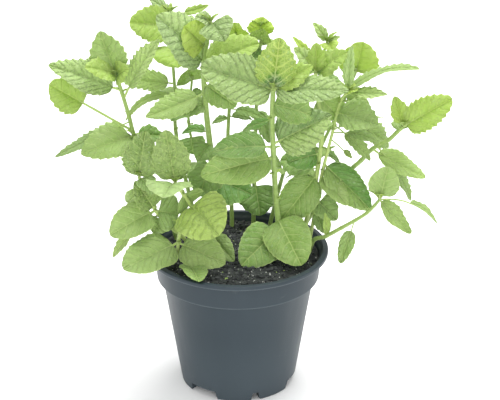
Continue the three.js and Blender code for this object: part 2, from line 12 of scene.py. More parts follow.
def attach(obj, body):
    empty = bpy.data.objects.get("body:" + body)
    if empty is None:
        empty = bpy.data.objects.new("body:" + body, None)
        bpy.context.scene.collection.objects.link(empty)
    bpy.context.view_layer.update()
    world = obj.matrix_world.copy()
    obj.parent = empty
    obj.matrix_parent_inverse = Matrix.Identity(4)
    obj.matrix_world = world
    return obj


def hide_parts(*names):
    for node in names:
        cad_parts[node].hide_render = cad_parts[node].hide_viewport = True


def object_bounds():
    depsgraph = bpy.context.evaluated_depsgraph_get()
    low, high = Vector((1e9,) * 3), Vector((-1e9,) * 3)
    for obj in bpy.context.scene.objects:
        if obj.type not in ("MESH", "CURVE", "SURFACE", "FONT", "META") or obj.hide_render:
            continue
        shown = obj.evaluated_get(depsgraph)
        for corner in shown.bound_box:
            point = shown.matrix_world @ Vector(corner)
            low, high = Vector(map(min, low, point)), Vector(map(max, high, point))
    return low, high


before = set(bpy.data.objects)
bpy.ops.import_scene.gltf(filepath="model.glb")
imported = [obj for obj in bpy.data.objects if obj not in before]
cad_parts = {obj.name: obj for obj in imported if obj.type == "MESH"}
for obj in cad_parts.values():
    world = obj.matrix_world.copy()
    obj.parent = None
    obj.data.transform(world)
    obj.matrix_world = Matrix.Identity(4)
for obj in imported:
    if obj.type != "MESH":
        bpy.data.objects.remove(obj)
cad_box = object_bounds()

MM = 0.001

# The shoots, as in the part's source: each has its stem's points from the root up, the stem's radius
# at the root and at the top, and its leaves. A leaf is [point on the stem, reach from there to the
# tip, width, where its upper face looks, arch as a share of its length, fold in degrees, petiole as
# a share of the reach, power of its outline].
SHOOTS = {
    "left_tall": {
        "stem": [
            [-38, 24, 76], [-48, 23, 114], [-60, 20, 142], [-68, 16, 169], [-71, 14, 184],
            [-75, 12, 201], [-78, 10, 213]
        ],
        "radius": [1.7, 1.2],
        "leaves": {
            "L1": [6, [-10, 4, 29], 26, [-0.1, -1, 0.2], 0.06, 12, 0.06],
            "L2": [6, [-19, -12, 10], 19, [0.1, -0.6, 0.8], 0.06, 15, 0.06, 0.55],
            "L2b": [6, [9, -9, 8], 17, [-0.2, -0.8, 0.5], 0.08, 15, 0.04, 0.55],
            "L3": [5.1, [-45.5, -8, 20.3], 25, [0, -0.7, 0.8], 0],
            "L4": [3.2, [-52.5, -9, 36], 25, [0, -1, 0.5], 0.03, 8, 0.6, 0.5],
            "L5": [4.7, [25, -6, 43], 19, [-0.5, -0.6, 0.5], 0.05, 15, 0.2],
            "L6a": [3.7, [-51, 4, -27], 12, [0, -0.5, 0.8], 0.01, 12, 0.2],
            "L6b": [3, [-34, -15, -7], 28, [0, -0.7, 0.7], 0.04, 15, 0.08],
            "M1": [3, [20, 2, -1], 15, [0, -0.6, 0.8], 0.04],
            "M1b": [3, [-9, -2, -6], 10, [0, -0.6, 0.8]]
        }
    },
    "back_left_tall": {
        "stem": [
            [-24, 37, 76], [-35, 42, 123], [-42, 46, 160], [-42, 50, 181], [-44, 56, 214],
            [-45, 60, 239]
        ],
        "radius": [1.5, 0.9],
        "leaves": {
            "T1": [5, [-14, 6, 8], 9, [0.3, -0.7, 0.6], 0.04],
            "T7": [5, [26, 0, 5.5], 8, [0, -0.6, 0.8], -0.12, 15, 0.35],
            "T2": [4.65, [-27, -6, 4.2], 26, [0.2, -0.9, 0.4], 0.04, 12, 0.02, 0.5],
            "T3": [4.1, [5, -20, -8], 37, [0, -0.5, 0.9], 0.06, 12, 0.06, 0.6],
            "B5": [4, [6, 28, -2], 22, [0, 0.2, 1]],
            "L7": [3.35, [-41, 2, 5.5], 15, [0, -0.9, 0.4], 0.02, 12, 0.1, 0.55],
            "L8": [3.1, [-33.5, -8, -15.5], 8, [-0.1, -0.5, 0.9], 0.27, 12, 0.06],
            "B8": [3, [-16, 28, -6], 24, [0, 0.2, 1]],
            "U4": [2.6, [13, -17, 5], 20, [0, -0.7, 0.7]]
        }
    },
    "back_left_short": {
        "stem": [[-16, 41, 76], [-24, 56, 119], [-34, 72, 154], [-32, 84, 182]],
        "radius": [1.2, 0.8],
        "leaves": {
            "U1": [3, [-2, -8, 12], 25, [0, -0.8, 0.6], 0.06, 12, 0.1, 0.65],
            "U2": [2.6, [9, -8, 5], 14, [0, -0.6, 0.8], 0.06, 12, 0.05, 0.5],
            "U6": [1.8, [2, -12, -9], 20, [0, -0.8, 0.6]],
            "B2a": [2.4, [3, 24, 2], 18, [0, 0.2, 1]]
        }
    },
    "centre_left_tall": {
        "stem": [
            [-12, 26, 76], [-16, 23, 125], [-18, 20, 156], [-21, 14, 192], [-22, 12, 215],
            [-21, 10, 232], [-17, 8, 250]
        ],
        "radius": [2.5, 1.1],
        "leaves": {
            "T4": [4.4, [-29, -12, 35], 34, [0.2, -0.7, 0.6], 0.05, 16, 0.05, 0.55],
            "T6": [5.1, [-13, -8, 15.5], 28, [0.3, -0.9, 0.3], 0.04, 12, 0.06, 0.5],
            "T8": [6, [9, -14, -8], 25, [0.1, -0.8, 0.6]],
            "T8b": [6, [-10, -2, 4], 12, [0, -0.5, 0.9]],
            "T10": [3.9, [36, -8, 24], 33, [0, -0.5, 0.9], 0.08, 12, 0.02, 0.5],
            "U3": [3.3, [-38, -10, -13], 21, [0, -0.6, 0.8], -0.04],
            "D1": [2.4, [-18, 4, -3], 12, [0, -0.2, 1], 0.15],
            "D2": [1.8, [-8, -10, -22], 27, [0, -1, 0.4]],
            "D3": [1.3, [26, -8, -8], 32, [0, -0.8, 0.6]],
            "D3b": [1.3, [-17, 4, 4], 20, [0, -0.8, 0.6]],
            "D11": [3.6, [21, -8, -13], 20, [0, -0.8, 0.5], 0.06, 12, 0.1, 0.6],
            "D12": [2.2, [-8, -10, -9], 18, [0, -0.8, 0.5]],
            "U3b": [3, [-20, -2, -4], 15, [0, -0.8, 0.6], 0.08, 15, 0.02, 0.5]
        }
    },
    "centre_back": {
        "stem": [
            [-4, 38, 76], [-5, 46, 118], [-7, 52, 149], [-6, 61, 172], [-4, 72, 201],
            [-1, 78, 215]
        ],
        "radius": [1.5, 0.9],
        "leaves": {
            "T9": [5, [-1, -8, 12], 18, [0, -0.8, 0.5]],
            "T9b": [5, [-9, -2, 9], 18, [0, -0.8, 0.5]],
            "T9c": [4, [-14, 18, 4], 20, [0, 0, 1]],
            "D7": [2.95, [24, -14, -2], 9, [0, -0.5, 0.9], 0.08, 12, 0.2],
            "T9d": [3.4, [16, 14, -4], 20, [0, 0.1, 1]],
            "D8b": [2.75, [16, 4, -4], 9, [0, -0.4, 1], 0.08],
            "D8c": [2.7, [-11.5, 2, -5], 7, [0, -0.5, 1], 0.1, 15, 0.06]
        }
    },
    "back_thin": {
        "stem": [
            [10, 42, 76], [11, 48, 125], [12, 56, 163], [13, 64, 193], [15, 70, 213],
            [15, 74, 224]
        ],
        "radius": [1.5, 0.8],
        "leaves": {
            "T12": [4.4, [0, 4, 13], 19, [0, -1, 0.2], 0.06, 12, 0.1, 0.65],
            "T13": [4.2, [2, -10, 12], 18, [0, -0.9, 0.5]],
            "T11": [4, [-10, -8, -13], 16, [0, -0.8, 0.6]],
            "T11b": [4, [14, 6, -2], 16, [0, 0, 1]],
            "V7": [2.3, [9, -6, -24], 13, [0.3, -0.9, 0.3]],
            "D4": [1, [4, -16, -21], 28, [0, -1, 0.5], 0.06, 12, 0.22, 0.6],
            "D4b": [1, [-14, 20, 4], 24, [0, 0.1, 1]],
            "D4c": [3, [-4, 26, 0], 22, [0, 0.2, 1]],
            "D4d": [2, [8, 22, -8], 20, [0, 0.1, 1]]
        }
    },
    "front_centre": {
        "stem": [
            [31, 6, 76], [27, 3, 110], [25, 1, 130], [24, -3, 149], [23, -8, 169],
            [22, -14, 192], [22.5, -20, 215]
        ],
        "radius": [1.9, 1.5],
        "leaves": {
            "V1": [6, [-45, -14, 20], 33, [0, -0.8, 0.6], -0.01, 12, 0.03, 0.46],
            "V2": [6, [4, 4, 33], 27, [0, -1, 0.1], 0.05, 10, 0.06, 0.62],
            "V3": [6, [25, 2, 15], 18, [-0.2, -0.7, 0.6], 0.03],
            "V4": [6, [47, -16, 5], 26, [0, -0.5, 0.85], 0, 6, 0.04],
            "V5": [5.5, [26, 2, -9], 24, [0, -0.7, 0.7], 0.08, 15, 0.04, 0.55],
            "V6": [4.2, [37, -8, 23], 32, [-0.2, -0.9, 0.4], 0.05, 12, 0.1, 0.7],
            "C3a": [4.1, [-40, -2, -3], 22, [0, -0.6, 0.8]],
            "C3b": [3.7, [-47, -14, -7], 29, [0, -0.8, 0.6], 0.05, 12, 0.06, 0.62],
            "C1": [0.9, [-25, -28, -13], 30, [0, -0.8, 0.6], 0.06, 8, 0.08, 0.55],
            "C2": [1.2, [15, -31, -19], 32, [0, -0.8, 0.6], 0.03, 8, 0.04, 0.5],
            "D8": [5, [-19, 4, -9.5], 8, [0, -0.6, 0.8], 0.06, 15, 0.1]
        }
    },
    "right_tall": {
        "stem": [
            [41, 19, 76], [47, 18, 113], [50, 16, 126], [53, 14, 149], [55, 10, 172],
            [52, 8, 197], [50, 6, 217]
        ],
        "radius": [1.6, 1.1],
        "leaves": {
            "W3": [6, [20, -5, 15], 18, [0, -0.7, 0.7], 0.06, 12, 0.04, 0.55],
            "W1": [6, [-15, 0, 24], 8, [0.5, -0.6, 0.4], 0.08, 15, 0.3],
            "W2": [6, [-14.5, -7, 19], 14, [0.3, -0.7, 0.5]],
            "W7": [5.6, [18, 2, -4], 17, [0, -0.5, 0.9]],
            "D6": [3.4, [-22, -4, -5], 20, [0, -0.8, 0.5]],
            "D5": [3, [-25, 8, 0], 26, [0, -0.7, 0.7]],
            "BB1": [2.7, [-25, -7, -32], 26, [0, -1, 0.4], 0.06, 12, 0.06, 0.6],
            "BB1b": [2.9, [-22, -2, -7], 6, [0, 0, 1]],
            "F5": [4, [0, 20, 2], 16, [0, 0.2, 1]],
            "F6": [2.5, [-14, 12, 2], 18, [0, 0.2, 1]],
            "W14b": [5.2, [16, 9, -21], 22, [0, -1, 0.1], 0.02, 5],
            "W3b": [6, [0, -6, 22], 14, [0, -0.9, 0.5], 0.06, 12, 0.04, 0.55]
        }
    },
    "right_slender": {
        "stem": [
            [45, 9, 76], [53, 12, 128], [56, 12, 146], [59, 10, 161], [62, 8, 176],
            [66, 6, 196], [71, 5, 204]
        ],
        "radius": [1.1, 0.8],
        "leaves": {
            "X1": [6, [2, 0, 32], 9, [-0.4, -0.9, 0.1], 0.04, 15],
            "X3": [6, [46, 4, 14.2], 12, [0, -0.1, 1], 0.13, 10, 0.06, 0.32],
            "X4": [6, [25, -8, 1], 12, [0, -0.4, 0.9], 0.0, 8],
            "X6": [6, [6, -6, 3], 10, [0, -0.5, 0.8]],
            "Y1a": [4.6, [26, -10, -4], 26, [0, -0.6, 0.8], 0.04, 15, 0.05, 0.55],
            "Y1b": [4.5, [37, 26, -32], 19, [0.3, -0.7, 0.6], 0.08, 15, 0.3],
            "Y2": [4, [34, 10, 5], 12, [0, 0.38, 1]],
            "Y3": [3.9, [28, -10, -2], 11, [0, -0.5, 0.9], 0.1, 15, 0.35],
            "Y4": [4.2, [24, -4, -23.5], 12, [0.3, -0.6, 0.6], 0.08, 15, 0.25],
            "AA5": [2.3, [31, -2, -32], 23, [0.2, -0.9, 0.3], 0.04, 15, 0.05, 0.6],
            "AA4": [1.7, [17, -12, -16], 15, [0.3, -0.8, 0.5], 0.06, 15, 0.04, 0.6],
            "AA3": [0.9, [13, -14, -8], 18, [0, -0.7, 0.6]],
            "AA9": [2.75, [9, 6, -8], 11, [0, -0.4, 0.9]],
            "Y5": [3.6, [14, -4, -12], 5, [0.3, -0.6, 0.6], 0.02, 15, 0.6],
            "AA2": [0.75, [6, -4, -15], 9, [0, -0.95, 0.2]]
        }
    },
    "right_arching": {
        "stem": [
            [35, 28, 76], [48, 30, 104], [60, 24, 122], [74, 16, 144], [81, 12, 153],
            [88, 8, 163], [98, 4, 171], [103, 2, 177], [107, 0, 182]
        ],
        "radius": [1.6, 1.2],
        "leaves": {
            "Z1": [8, [30.5, -6, 21.5], 22.5, [-0.2, -0.9, 0.4], 0.05, 12, 0.06, 0.5],
            "X5": [8, [-6, 5, 19], 13, [0.1, -1, 0.2]],
            "Z2": [5, [35, -6, -18], 18, [0.3, -0.6, 0.8], -0.04, 12, 0.12, 0.65],
            "Z3": [5.3, [24, 6, -42], 15, [0.7, -0.4, 0.5], 0.04, 15, 0.45],
            "H7": [7, [10, 14, 2], 16, [0, 0.2, 1]],
            "H8": [2, [14, 14, -8], 22, [0, 0.2, 1]]
        }
    },
    "right_trailing": {
        "stem": [
            [46, 0, 76], [49, 0, 99], [58, -4, 105.5], [68, -8, 113.5], [77, -11, 120.5],
            [84, -13, 126.5], [89, -15, 133], [92, -16, 137.5]
        ],
        "radius": [1.5, 0.9],
        "leaves": {
            "Z4": [7, [5, 4, 21.5], 21, [0, -1, 0.1], 0.03, 10, 0.12, 0.5],
            "Z5": [7, [21, -4, -22.5], 15, [0.5, -0.6, 0.6], -0.04, 12, 0.06, 0.6],
            "Z6": [7, [38, -2, -17], 13, [0.2, 0, 1], 0.15, 15, 0.45, 0.6],
            "Z7": [3.9, [-9, -6, -28], 11, [-0.3, -0.9, 0.2], -0.05, 15, 0.24, 0.5],
            "AA1": [2, [-1, -2, 18], 7, [0.5, -0.8, 0.1]]
        }
    },
    "left_low": {
        "stem": [
            [-28, 2, 76], [-33, 0, 98], [-43, -2, 110], [-49, -4, 118], [-54, -6, 125],
            [-60, -7, 138], [-64, -8, 150]
        ],
        "radius": [1.4, 1],
        "leaves": {
            "M7": [4, [-29, -14, -11.5], 25.5, [-0.1, -0.7, 0.7], 0.06, 12, 0.1, 0.55],
            "M6": [4, [-13, -2, 22], 19, [0.3, -0.9, 0.3]],
            "M8": [4, [-29, 0, -34], 9, [0, -0.5, 0.8], 0.08, 15, 0.5],
            "M2": [6, [5, 3, 31], 26, [-0.1, -1, 0.2], 0.04, 12, 0.02, 0.65],
            "M5": [6, [10, -10, -8], 15, [0, -0.3, 1]],
            "M10": [4, [15, 4, -5], 28, [0, -0.8, 0.6]],
            "M12": [5.3, [-11.5, 8, -14], 13, [0, -1, 0.2]],
            "M13": [3, [-7, -6, -7], 16, [0, -0.8, 0.6]]
        }
    },
    "left_front": {
        "stem": [[-33, -20, 76], [-34, -19, 93], [-39, -17, 98], [-39, -15, 106], [-37, -14, 118]],
        "radius": [1.5, 1.1],
        "leaves": {
            "N1": [3, [-34.5, -26, -6.7], 30, [0, -0.5, 0.85], 0.02, 6, 0.1, 0.52],
            "N2": [3, [31, -18, -7], 27, [0, -0.7, 0.7], 0.04, 10, 0.1, 0.6],
            "N4": [1, [9.5, -38, 5.5], 19, [0.1, 0.1, 1], 0.05, 12, 0.28, 0.5]
        }
    },
    "front_left": {
        "stem": [[-18, 4, 76], [-24, -4, 115], [-31, -12, 132], [-35, -16, 141], [-40, -20, 151]],
        "radius": [1.5, 1.1],
        "leaves": {
            "M9": [2, [19, -27, -10], 38, [0, -0.8, 0.6], 0.08, 8, 0.08, 0.5],
            "M4": [4, [-7, -22, -1], 32, [-0.1, -0.1, 1], 0.06, 10],
            "M3": [4, [-6, 4, 35], 26, [0.1, -1, 0.1], 0.05, 12, 0.08, 0.62],
            "M3b": [4, [14, 10, 10], 14, [0, 0, 1]],
            "N3": [0.9, [21, -19, -16], 16, [0, -0.8, 0.5], 0.04, 12, 0.3],
            "M11": [3.2, [4, 12, -14], 24, [0, -0.8, 0.6]]
        }
    },
    "back_right_tall": {
        "stem": [[18, 41, 76], [28, 48, 118], [40, 56, 157], [53, 65, 196], [60, 70, 215]],
        "radius": [1.4, 0.8],
        "leaves": {
            "W5": [4, [3, -10, -3], 14, [0, -0.5, 0.9]],
            "W4": [4, [-10, 0, 14], 9, [0.4, -0.8, 0.4]],
            "W9": [3, [-16, -2, 2], 20, [0, -0.3, 1]],
            "W10": [3, [14, 12, 2], 22, [0, 0.1, 1]],
            "W11": [2, [18, -6, -2], 24, [0, -0.3, 1]],
            "W12": [2, [-15, 16, -4], 22, [0, 0.1, 1]],
            "W14": [1.3, [-14, -4, 4], 24, [0, -0.2, 1]],
            "W6": [4, [9, 0, 4], 5, [0, -0.6, 0.8]]
        }
    },
    "far_right_back": {
        "stem": [[27, 36, 76], [40, 44, 112], [56, 50, 147], [71, 56, 178], [79, 60, 197]],
        "radius": [1.3, 0.8],
        "leaves": {
            "X2": [4, [4, -6, 24], 29, [0, -1, 0.2], 0.05, 10, 0.04, 0.5],
            "X7": [4, [14, 8, 4], 18, [0, 0, 1]],
            "X8": [4, [-12, 6, 6], 18, [0, -0.3, 1]],
            "X9": [3, [18, 4, -4], 24, [0, -0.3, 1]],
            "X12": [2, [-6, -14, -4], 22, [0, -0.2, 1]]
        }
    }
}

# The pot's sizes, as in the part's source
POT_HEIGHT = 96
LIP_RADIUS = 60
LIP_HEIGHT = 2.8
LIP_INNER_RADIUS = 56.4
COLLAR_TOP_RADIUS = 55.5
COLLAR_FOOT_RADIUS = 54
COLLAR_HEIGHT = 16.8
BODY_TOP_RADIUS = 50.5
BASE_RADIUS = 38.4
WALL = 1.2
STEP_SLOPE = 0.4
LIP_FLARE_START = 0.5
FOOT_RECESS_HEIGHT = 6
FOOT_RECESS_INNER_RADIUS = 26
FOOT_RECESS_SLOPE = 1.6
CUT_PAST = 1
NARROW_RECESS_WIDTH = 7
WIDE_RECESS_WIDTH = 23
NARROW_RECESS_TURN = 17.7
WIDE_RECESS_TURN = 55.3
POCKET_COUNT = 20
POCKET_WIDTH = 10
POCKET_HEIGHT = 1.5
POCKET_DEPTH = 0.7
CLEARANCE = 0.3
SOIL_EDGE_Z = 90.5
SOIL_MOUND = 2.1
LIP_FOOT = POT_HEIGHT - LIP_HEIGHT
COLLAR_FOOT = LIP_FOOT - COLLAR_HEIGHT
SOIL_RADIUS = COLLAR_TOP_RADIUS - WALL - 2 * CLEARANCE

# The pot's rounded edges, by their radius, and the steps round it
BASE_EDGE = 0.9
COLLAR_EDGE = 0.45
LIP_UNDER_EDGE = 0.35
LIP_TOP_EDGE = 0.8
POT_STEPS = 240

# The leaves' shape, as in the part's source. The last are the arch, fold, petiole and power of a
# row that leaves them out.
WIDEST_POWER = 0.7
OUTLINE_POWER = 0.7
LEAF_DEFAULTS = (0.08, 15, 0.12, OUTLINE_POWER)

# How a blade is built here: its teeth, its thickness, the grid over it and its side veins. Lengths
# are in mm, and the lean is a share of the blade.
TOOTH_LENGTH = 4.1
SHARP_TOOTH_DEPTH = 1.35
ROUND_TOOTH_DEPTH = 0.5
BLADE_THICKNESS = 0.4
ROWS_A_TOOTH = 5
COLUMN_WIDTH = 4
VEIN_SPACING = 7
VEIN_LEAN = 0.46

# The stems' sections, the steps from one point of a stem to the next, how far a stem swells at its
# points and for how long, the radii of a large leaf's petiole and midrib, and the hairs
STEM_SIDES = 16
STEM_SQUARENESS = 0.09
STEPS_A_POINT = 6
NODE_SWELLING = 0.12
NODE_LENGTH = 0.09
PETIOLE_SIDES = 7
PETIOLE_RADIUS = 0.85
MIDRIB_START_RADIUS = 0.74
MIDRIB_END_RADIUS = 0.12
HAIRS_A_STEP = 9
HAIR_LENGTHS = (0.6, 1.1)

# Young leaves at a stem's tip and at its nodes: how many, shortest, longest, and their rise
TIP_LEAVES = (4, 5.5, 8.0, 0.85)
NODE_LEAVES = (2, 3.5, 6.0, 0.5)
# Shoots whose nodes have no young leaves, and shoots with pale stems
BARE_STEMS = ("right_trailing", "right_arching")
PALE_STEMS = ("right_tall", "left_low", "right_slender", "left_front", "front_left")

# Numbers of the materials within a piece
LEAF_TISSUE, STEM_SKIN = 0, 1
PEAT, PERLITE, LITTER = 0, 1, 2

# What lies on the soil: how many, smallest and largest radius in mm, material, height as a share of
# the width, and how far the middle lies above the surface as a share of the radius
SOIL_BITS = (
    (1500, 0.5, 2.4, PEAT, 0.75, 0.1),
    (800, 0.25, 0.85, PERLITE, 0.7, 0.15),
    (60, 0.5, 1.3, LITTER, 0.3, 0.4),
)
SOIL_RINGS = 56
SOIL_STEPS = 180

# Each kind of leaf: how bright and how yellow it is, how deeply it is quilted in mm, and how far
# its veins stand out
KINDS = {
    "yellow": (0.46, 0.9, 0.35, 0.45),
    "lemon": (0.72, 0.95, 0.35, 0.45),
    "veined": (0.32, 1.0, 0.6, 1.0),
    "netted": (0.48, 0.56, 0.9, 0.55),
    "light": (0.5, 0.55, 0.35, 0.5),
    "leafy": (0.22, 0.62, 0.4, 0.5),
    "olive": (0.14, 0.62, 0.4, 0.45),
    "cream": (1.0, 0.2, 0.4, 0.3),
    "mid": (0.45, 0.52, 0.45, 0.4),
    "grey": (0.6, 0.3, 0.85, 0.35),
    "silver": (0.86, 0.22, 0.8, 0.35),
    "puffed": (0.78, 0.72, 0.8, 0.3),
    "pale": (1.0, 0.28, 0.6, 0.4),
    "dull": (0.35, 0.45, 0.45, 0.3),
    "dark": (0.18, 0.55, 0.4, 0.25),
    "deep": (0.0, 0.62, 0.4, 0.25),
}
# Leaves that aren't named here are of the kind "mid"
LEAVES_BY_KIND = {
    "yellow": "L2 L2b L4 T2 T3 T7 T10 T13 V3 W3 W3b X5 Z1 AA1 young",
    "lemon": "T6 T9 T9b T12 X2 X6 W1 W5",
    "veined": "V2",
    "light": "L6b L8 M7 Z2 BB1b M8 U3 Z4 Z6 AA4 M12 W6 Y5 W14b",
    "leafy": "C2 C3b N4 V5 D11 BB1",
    "olive": "C1 C3a",
    "cream": "M4 X1 Y2",
    "grey": "V1 V4 V6 T8",
    "silver": "L3 T1 T4 T8b",
    "netted": "M2 M3 M6",
    "puffed": "M9",
    "pale": "L5 L7 X4 W2 W4",
    "dull": "L6a M3b M10 M5 Z7 U2 AA2 V7 AA3 D8b Y3",
    "dark": "AA5 M1 M1b U4 U6 D2 D3b D4 D5 D7 D8c D12 T11 W7 AA9",
    "deep": "D1 D3 D6 D8",
}
KIND_OF = {name: kind for kind, names in LEAVES_BY_KIND.items() for name in names.split()}
# Kinds whose side veins wander, so that their quilting is more of a net than a row of ribs, and
# how strongly it shows. On the other kinds that follows from how deeply they are quilted.
CRUMPLED_KINDS = {"netted": 1.45, "puffed": 0.8}
DEEPLY_QUILTED = 0.8
ROUND_LEAVES = set(
    "M7 M6 M9 M10 N1 N2 N3 N4 C1 C2 C3a C3b Z2 Z4 Z5 Z6 Z7 AA4 AA5 BB1 AA1 M12".split()
)
# Painted light and shade: how much brighter a leaf's right half is painted than its middle tone, with its
# left half darker by as much
LIT_AND_SHADED_HALVES = {"V6": 0.3, "T4": 0.2, "V4": -0.1, "AA5": 0.18}
# Leaves with painted shade that darkens them towards their base, and by how much
SHADED_BASES = {"V2": 1.0, "L2b": 0.5, "W3": 0.4, "T9": 0.4}


# Node materials
class Nodes:
    """A material's node tree, with short calls for the nodes that several materials use."""

    def __init__(self, name):
        self.material = bpy.data.materials.new(name)
        self.material.use_nodes = True
        self.tree = self.material.node_tree
        self.tree.nodes.clear()

    def add(self, kind, settings=None, **inputs):
        node = self.tree.nodes.new("ShaderNode" + kind)
        for key, value in (settings or {}).items():
            setattr(node, key, value)
        for key, value in inputs.items():
            self.set(node.inputs[key.replace("_", " ")], value)
        return node

    def set(self, socket, value):
        if isinstance(value, bpy.types.NodeSocket):
            self.tree.links.new(value, socket)
        else:
            socket.default_value = value

    def math(self, operation, a, b=0.0, clamp=False):
        node = self.add("Math", {"operation": operation, "use_clamp": clamp})
        self.set(node.inputs[0], a)
        self.set(node.inputs[1], b)
        return node.outputs[0]

    def times(self, a, b):
        return self.math("MULTIPLY", a, b)

    def plus(self, a, b):
        return self.math("ADD", a, b)

    def mix(self, share, a, b):
        """A mix of two colours, by the sockets that the Mix node has for colours."""
        node = self.add("Mix", {"data_type": "RGBA"})
        self.set(node.inputs[0], share)
        self.set(node.inputs[6], a)
        self.set(node.inputs[7], b)
        return node.outputs[2]

    def ramp(self, value, low, high, to_low=0.0, to_high=1.0):
        """A smooth step from to_low at low to to_high at high."""
        node = self.add("MapRange", {"interpolation_type": "SMOOTHSTEP"})
        for socket, number in zip(node.inputs, (value, low, high, to_low, to_high)):
            self.set(socket, number)
        return node.outputs[0]

    def noise(self, vector, scale, detail=2.0, roughness=0.5):
        node = self.add("TexNoise", Vector=vector, Scale=scale, Detail=detail, Roughness=roughness)
        return node.outputs[0]

    def attribute(self, name):
        return self.add("Attribute", {"attribute_name": name}).outputs["Vector"]

    def place(self):
        return self.add("TexCoord").outputs["Object"]

    def split(self, vector):
        return self.add("SeparateXYZ", Vector=vector).outputs

    def bump(self, height, strength, distance):
        node = self.add("Bump", Height=height, Strength=strength, Distance=distance)
        return node.outputs[0]

    def blend(self, share, first, second):
        """A blend of two shaders."""
        node = self.add("MixShader")
        for socket, value in zip(node.inputs, (share, first.outputs[0], second.outputs[0])):
            self.set(socket, value)
        return node

    def end(self, shader):
        self.add("OutputMaterial", Surface=shader.outputs[0])
        return self.material


def colour(red, green, blue):
    """An sRGB colour of 0 to 255 as the linear colour that the shaders take."""
    def linear(value):
        share = value / 255
        return share / 12.92 if share <= 0.04045 else ((share + 0.055) / 1.055) ** 2.4
    return (linear(red), linear(green), linear(blue), 1.0)


def leaf_pattern(n, off_mid, relief, phase, flat, vein_share):
    """How much of the midrib, a side vein, the net of small veins and a swelling is at a point."""
    rib = n.ramp(n.math("ABSOLUTE", n.split(flat)[0]), 0.15, 0.55, 1.0, 0.0)
    nearest = n.math("ABSOLUTE", n.math("SUBTRACT", n.math("FRACT", n.plus(phase, 0.5)), 0.5))
    vein_width = n.ramp(off_mid, 0.2, 1.0, 0.11, 0.06)
    vein_width = n.times(vein_width, n.ramp(vein_share, 0.6, 1.0, 1.0, 2.0))
    side_vein = n.math("SUBTRACT", 1.0, n.math("DIVIDE", nearest, vein_width), True)
    side_vein = n.times(side_vein, n.ramp(off_mid, 0.75, 0.98, 1.0, 0.0))
    cells = n.add("TexVoronoi", {"feature": "DISTANCE_TO_EDGE"}, Vector=flat, Scale=0.36).outputs["Distance"]
    net = n.ramp(cells, 0.0, 0.16, 1.0, 0.0)

    # The tissue swells between the side veins and in each mesh of the net, more in some places
    ridge = n.times(n.ramp(nearest, 0.0, 0.2), n.ramp(off_mid, 0.04, 0.2))
    ridge = n.times(ridge, n.ramp(relief, 1.0, 1.5, 0.45, 0.15))
    bubbles = n.times(n.ramp(cells, 0.02, 0.5), n.ramp(relief, 1.0, 1.5, 0.55, 0.85))
    uneven = n.ramp(n.noise(flat, 0.3, 2.0), 0.25, 0.6, 0.45, 1.0)
    swell = n.times(n.plus(ridge, bubbles), uneven)
    return rib, side_vein, net, swell


def leaf_green(n, tone, relief, swell, flat):
    """The tissue's green, with soft blotches, painted shade in the creases and painted highlights on the
    crests, and the veins' green.
    """
    bright, yellow, vein_share = tone
    dark = n.mix(yellow, colour(80, 124, 58), colour(94, 144, 44))
    light = n.mix(yellow, colour(203, 222, 172), colour(212, 231, 112))
    green = n.mix(bright, dark, light)
    blotches = n.ramp(n.noise(flat, 0.12, 3.0), 0.35, 0.7, 0.0, 0.45)
    green = n.mix(blotches, green, n.mix(0.3, green, colour(214, 228, 170)))
    # Painted shade: the creases between the swellings are darkened
    painted_crease_shade = n.times(n.ramp(swell, 0.55, 0.1), relief)
    painted_crease_shade = n.times(painted_crease_shade, n.ramp(vein_share, 0.3, 1.0, 0.62, 0.0))
    painted_crease_shade = n.times(painted_crease_shade, n.ramp(n.noise(flat, 0.42, 2.0), 0.36, 0.6, 0.3, 1.0))
    green = n.mix(painted_crease_shade, green, n.mix(0.62, green, colour(66, 106, 60)))
    # Painted highlight: the crests of the swellings are paled
    painted_crest_highlight = n.times(n.times(n.ramp(swell, 0.5, 0.95), relief), 0.55)
    green = n.mix(painted_crest_highlight, green, n.mix(0.55, green, colour(214, 232, 196)))
    vein_green = n.mix(0.7, green, n.mix(yellow, colour(220, 234, 180), colour(220, 234, 138)))
    return green, vein_green


def leaf_material():
    n = Nodes("mint_leaf_tissue")
    side, relief, phase = n.split(n.attribute("leaf_place"))
    flat = n.attribute("leaf_flat")
    tone = n.split(n.attribute("leaf_tone"))
    bright, yellow, vein_share = tone
    off_mid = n.math("ABSOLUTE", side)
    rib, side_vein, net, swell = leaf_pattern(n, off_mid, relief, phase, flat, vein_share)

    # The veins and the blade's edge are painted on the green
    green, vein_green = leaf_green(n, tone, relief, swell, flat)
    rib_share = n.times(rib, n.ramp(vein_share, 0.2, 1.0, 0.4, 1.0))
    shown = n.math("MAXIMUM", n.times(side_vein, vein_share), rib_share)
    painted = n.mix(shown, green, vein_green)
    painted = n.mix(n.times(net, n.ramp(vein_share, 0.25, 1.0, 0.05, 0.5)), painted, vein_green)
    painted = n.mix(n.ramp(off_mid, 0.9, 1.0, 0.0, 0.4), painted, vein_green)

    # Veins are sunk in most leaves and stand up where they show most
    grain = n.noise(flat, 1.6, 3.0, 0.6)
    height = n.plus(n.times(swell, 1.3), n.times(grain, 0.25))
    veins = n.math("MAXIMUM", rib, side_vein)
    height = n.plus(height, n.times(veins, n.ramp(vein_share, 0.3, 1.0, -0.3, 0.7)))
    height = n.plus(height, n.times(net, n.ramp(vein_share, 0.3, 1.0, -0.1, 0.5)))
    height = n.times(height, n.ramp(relief, 0.0, 2.0, 0.35, 2.3))
    normal = n.bump(height, 0.8, 0.0008)

    skin = n.add(
        "BsdfPrincipled",
        Base_Color=painted,
        Roughness=n.ramp(grain, 0.3, 0.7, 0.42, 0.6),
        Specular_IOR_Level=0.4,
        Sheen_Weight=0.08,
        Sheen_Roughness=0.5,
        Normal=normal,
    )
    glow = n.mix(0.28, painted, n.mix(yellow, colour(140, 182, 90), colour(196, 224, 80)))
    through = n.add("BsdfTranslucent", Color=glow, Normal=normal)
    return n.end(n.blend(n.ramp(bright, 0.0, 1.0, 0.3, 0.55), skin, through))


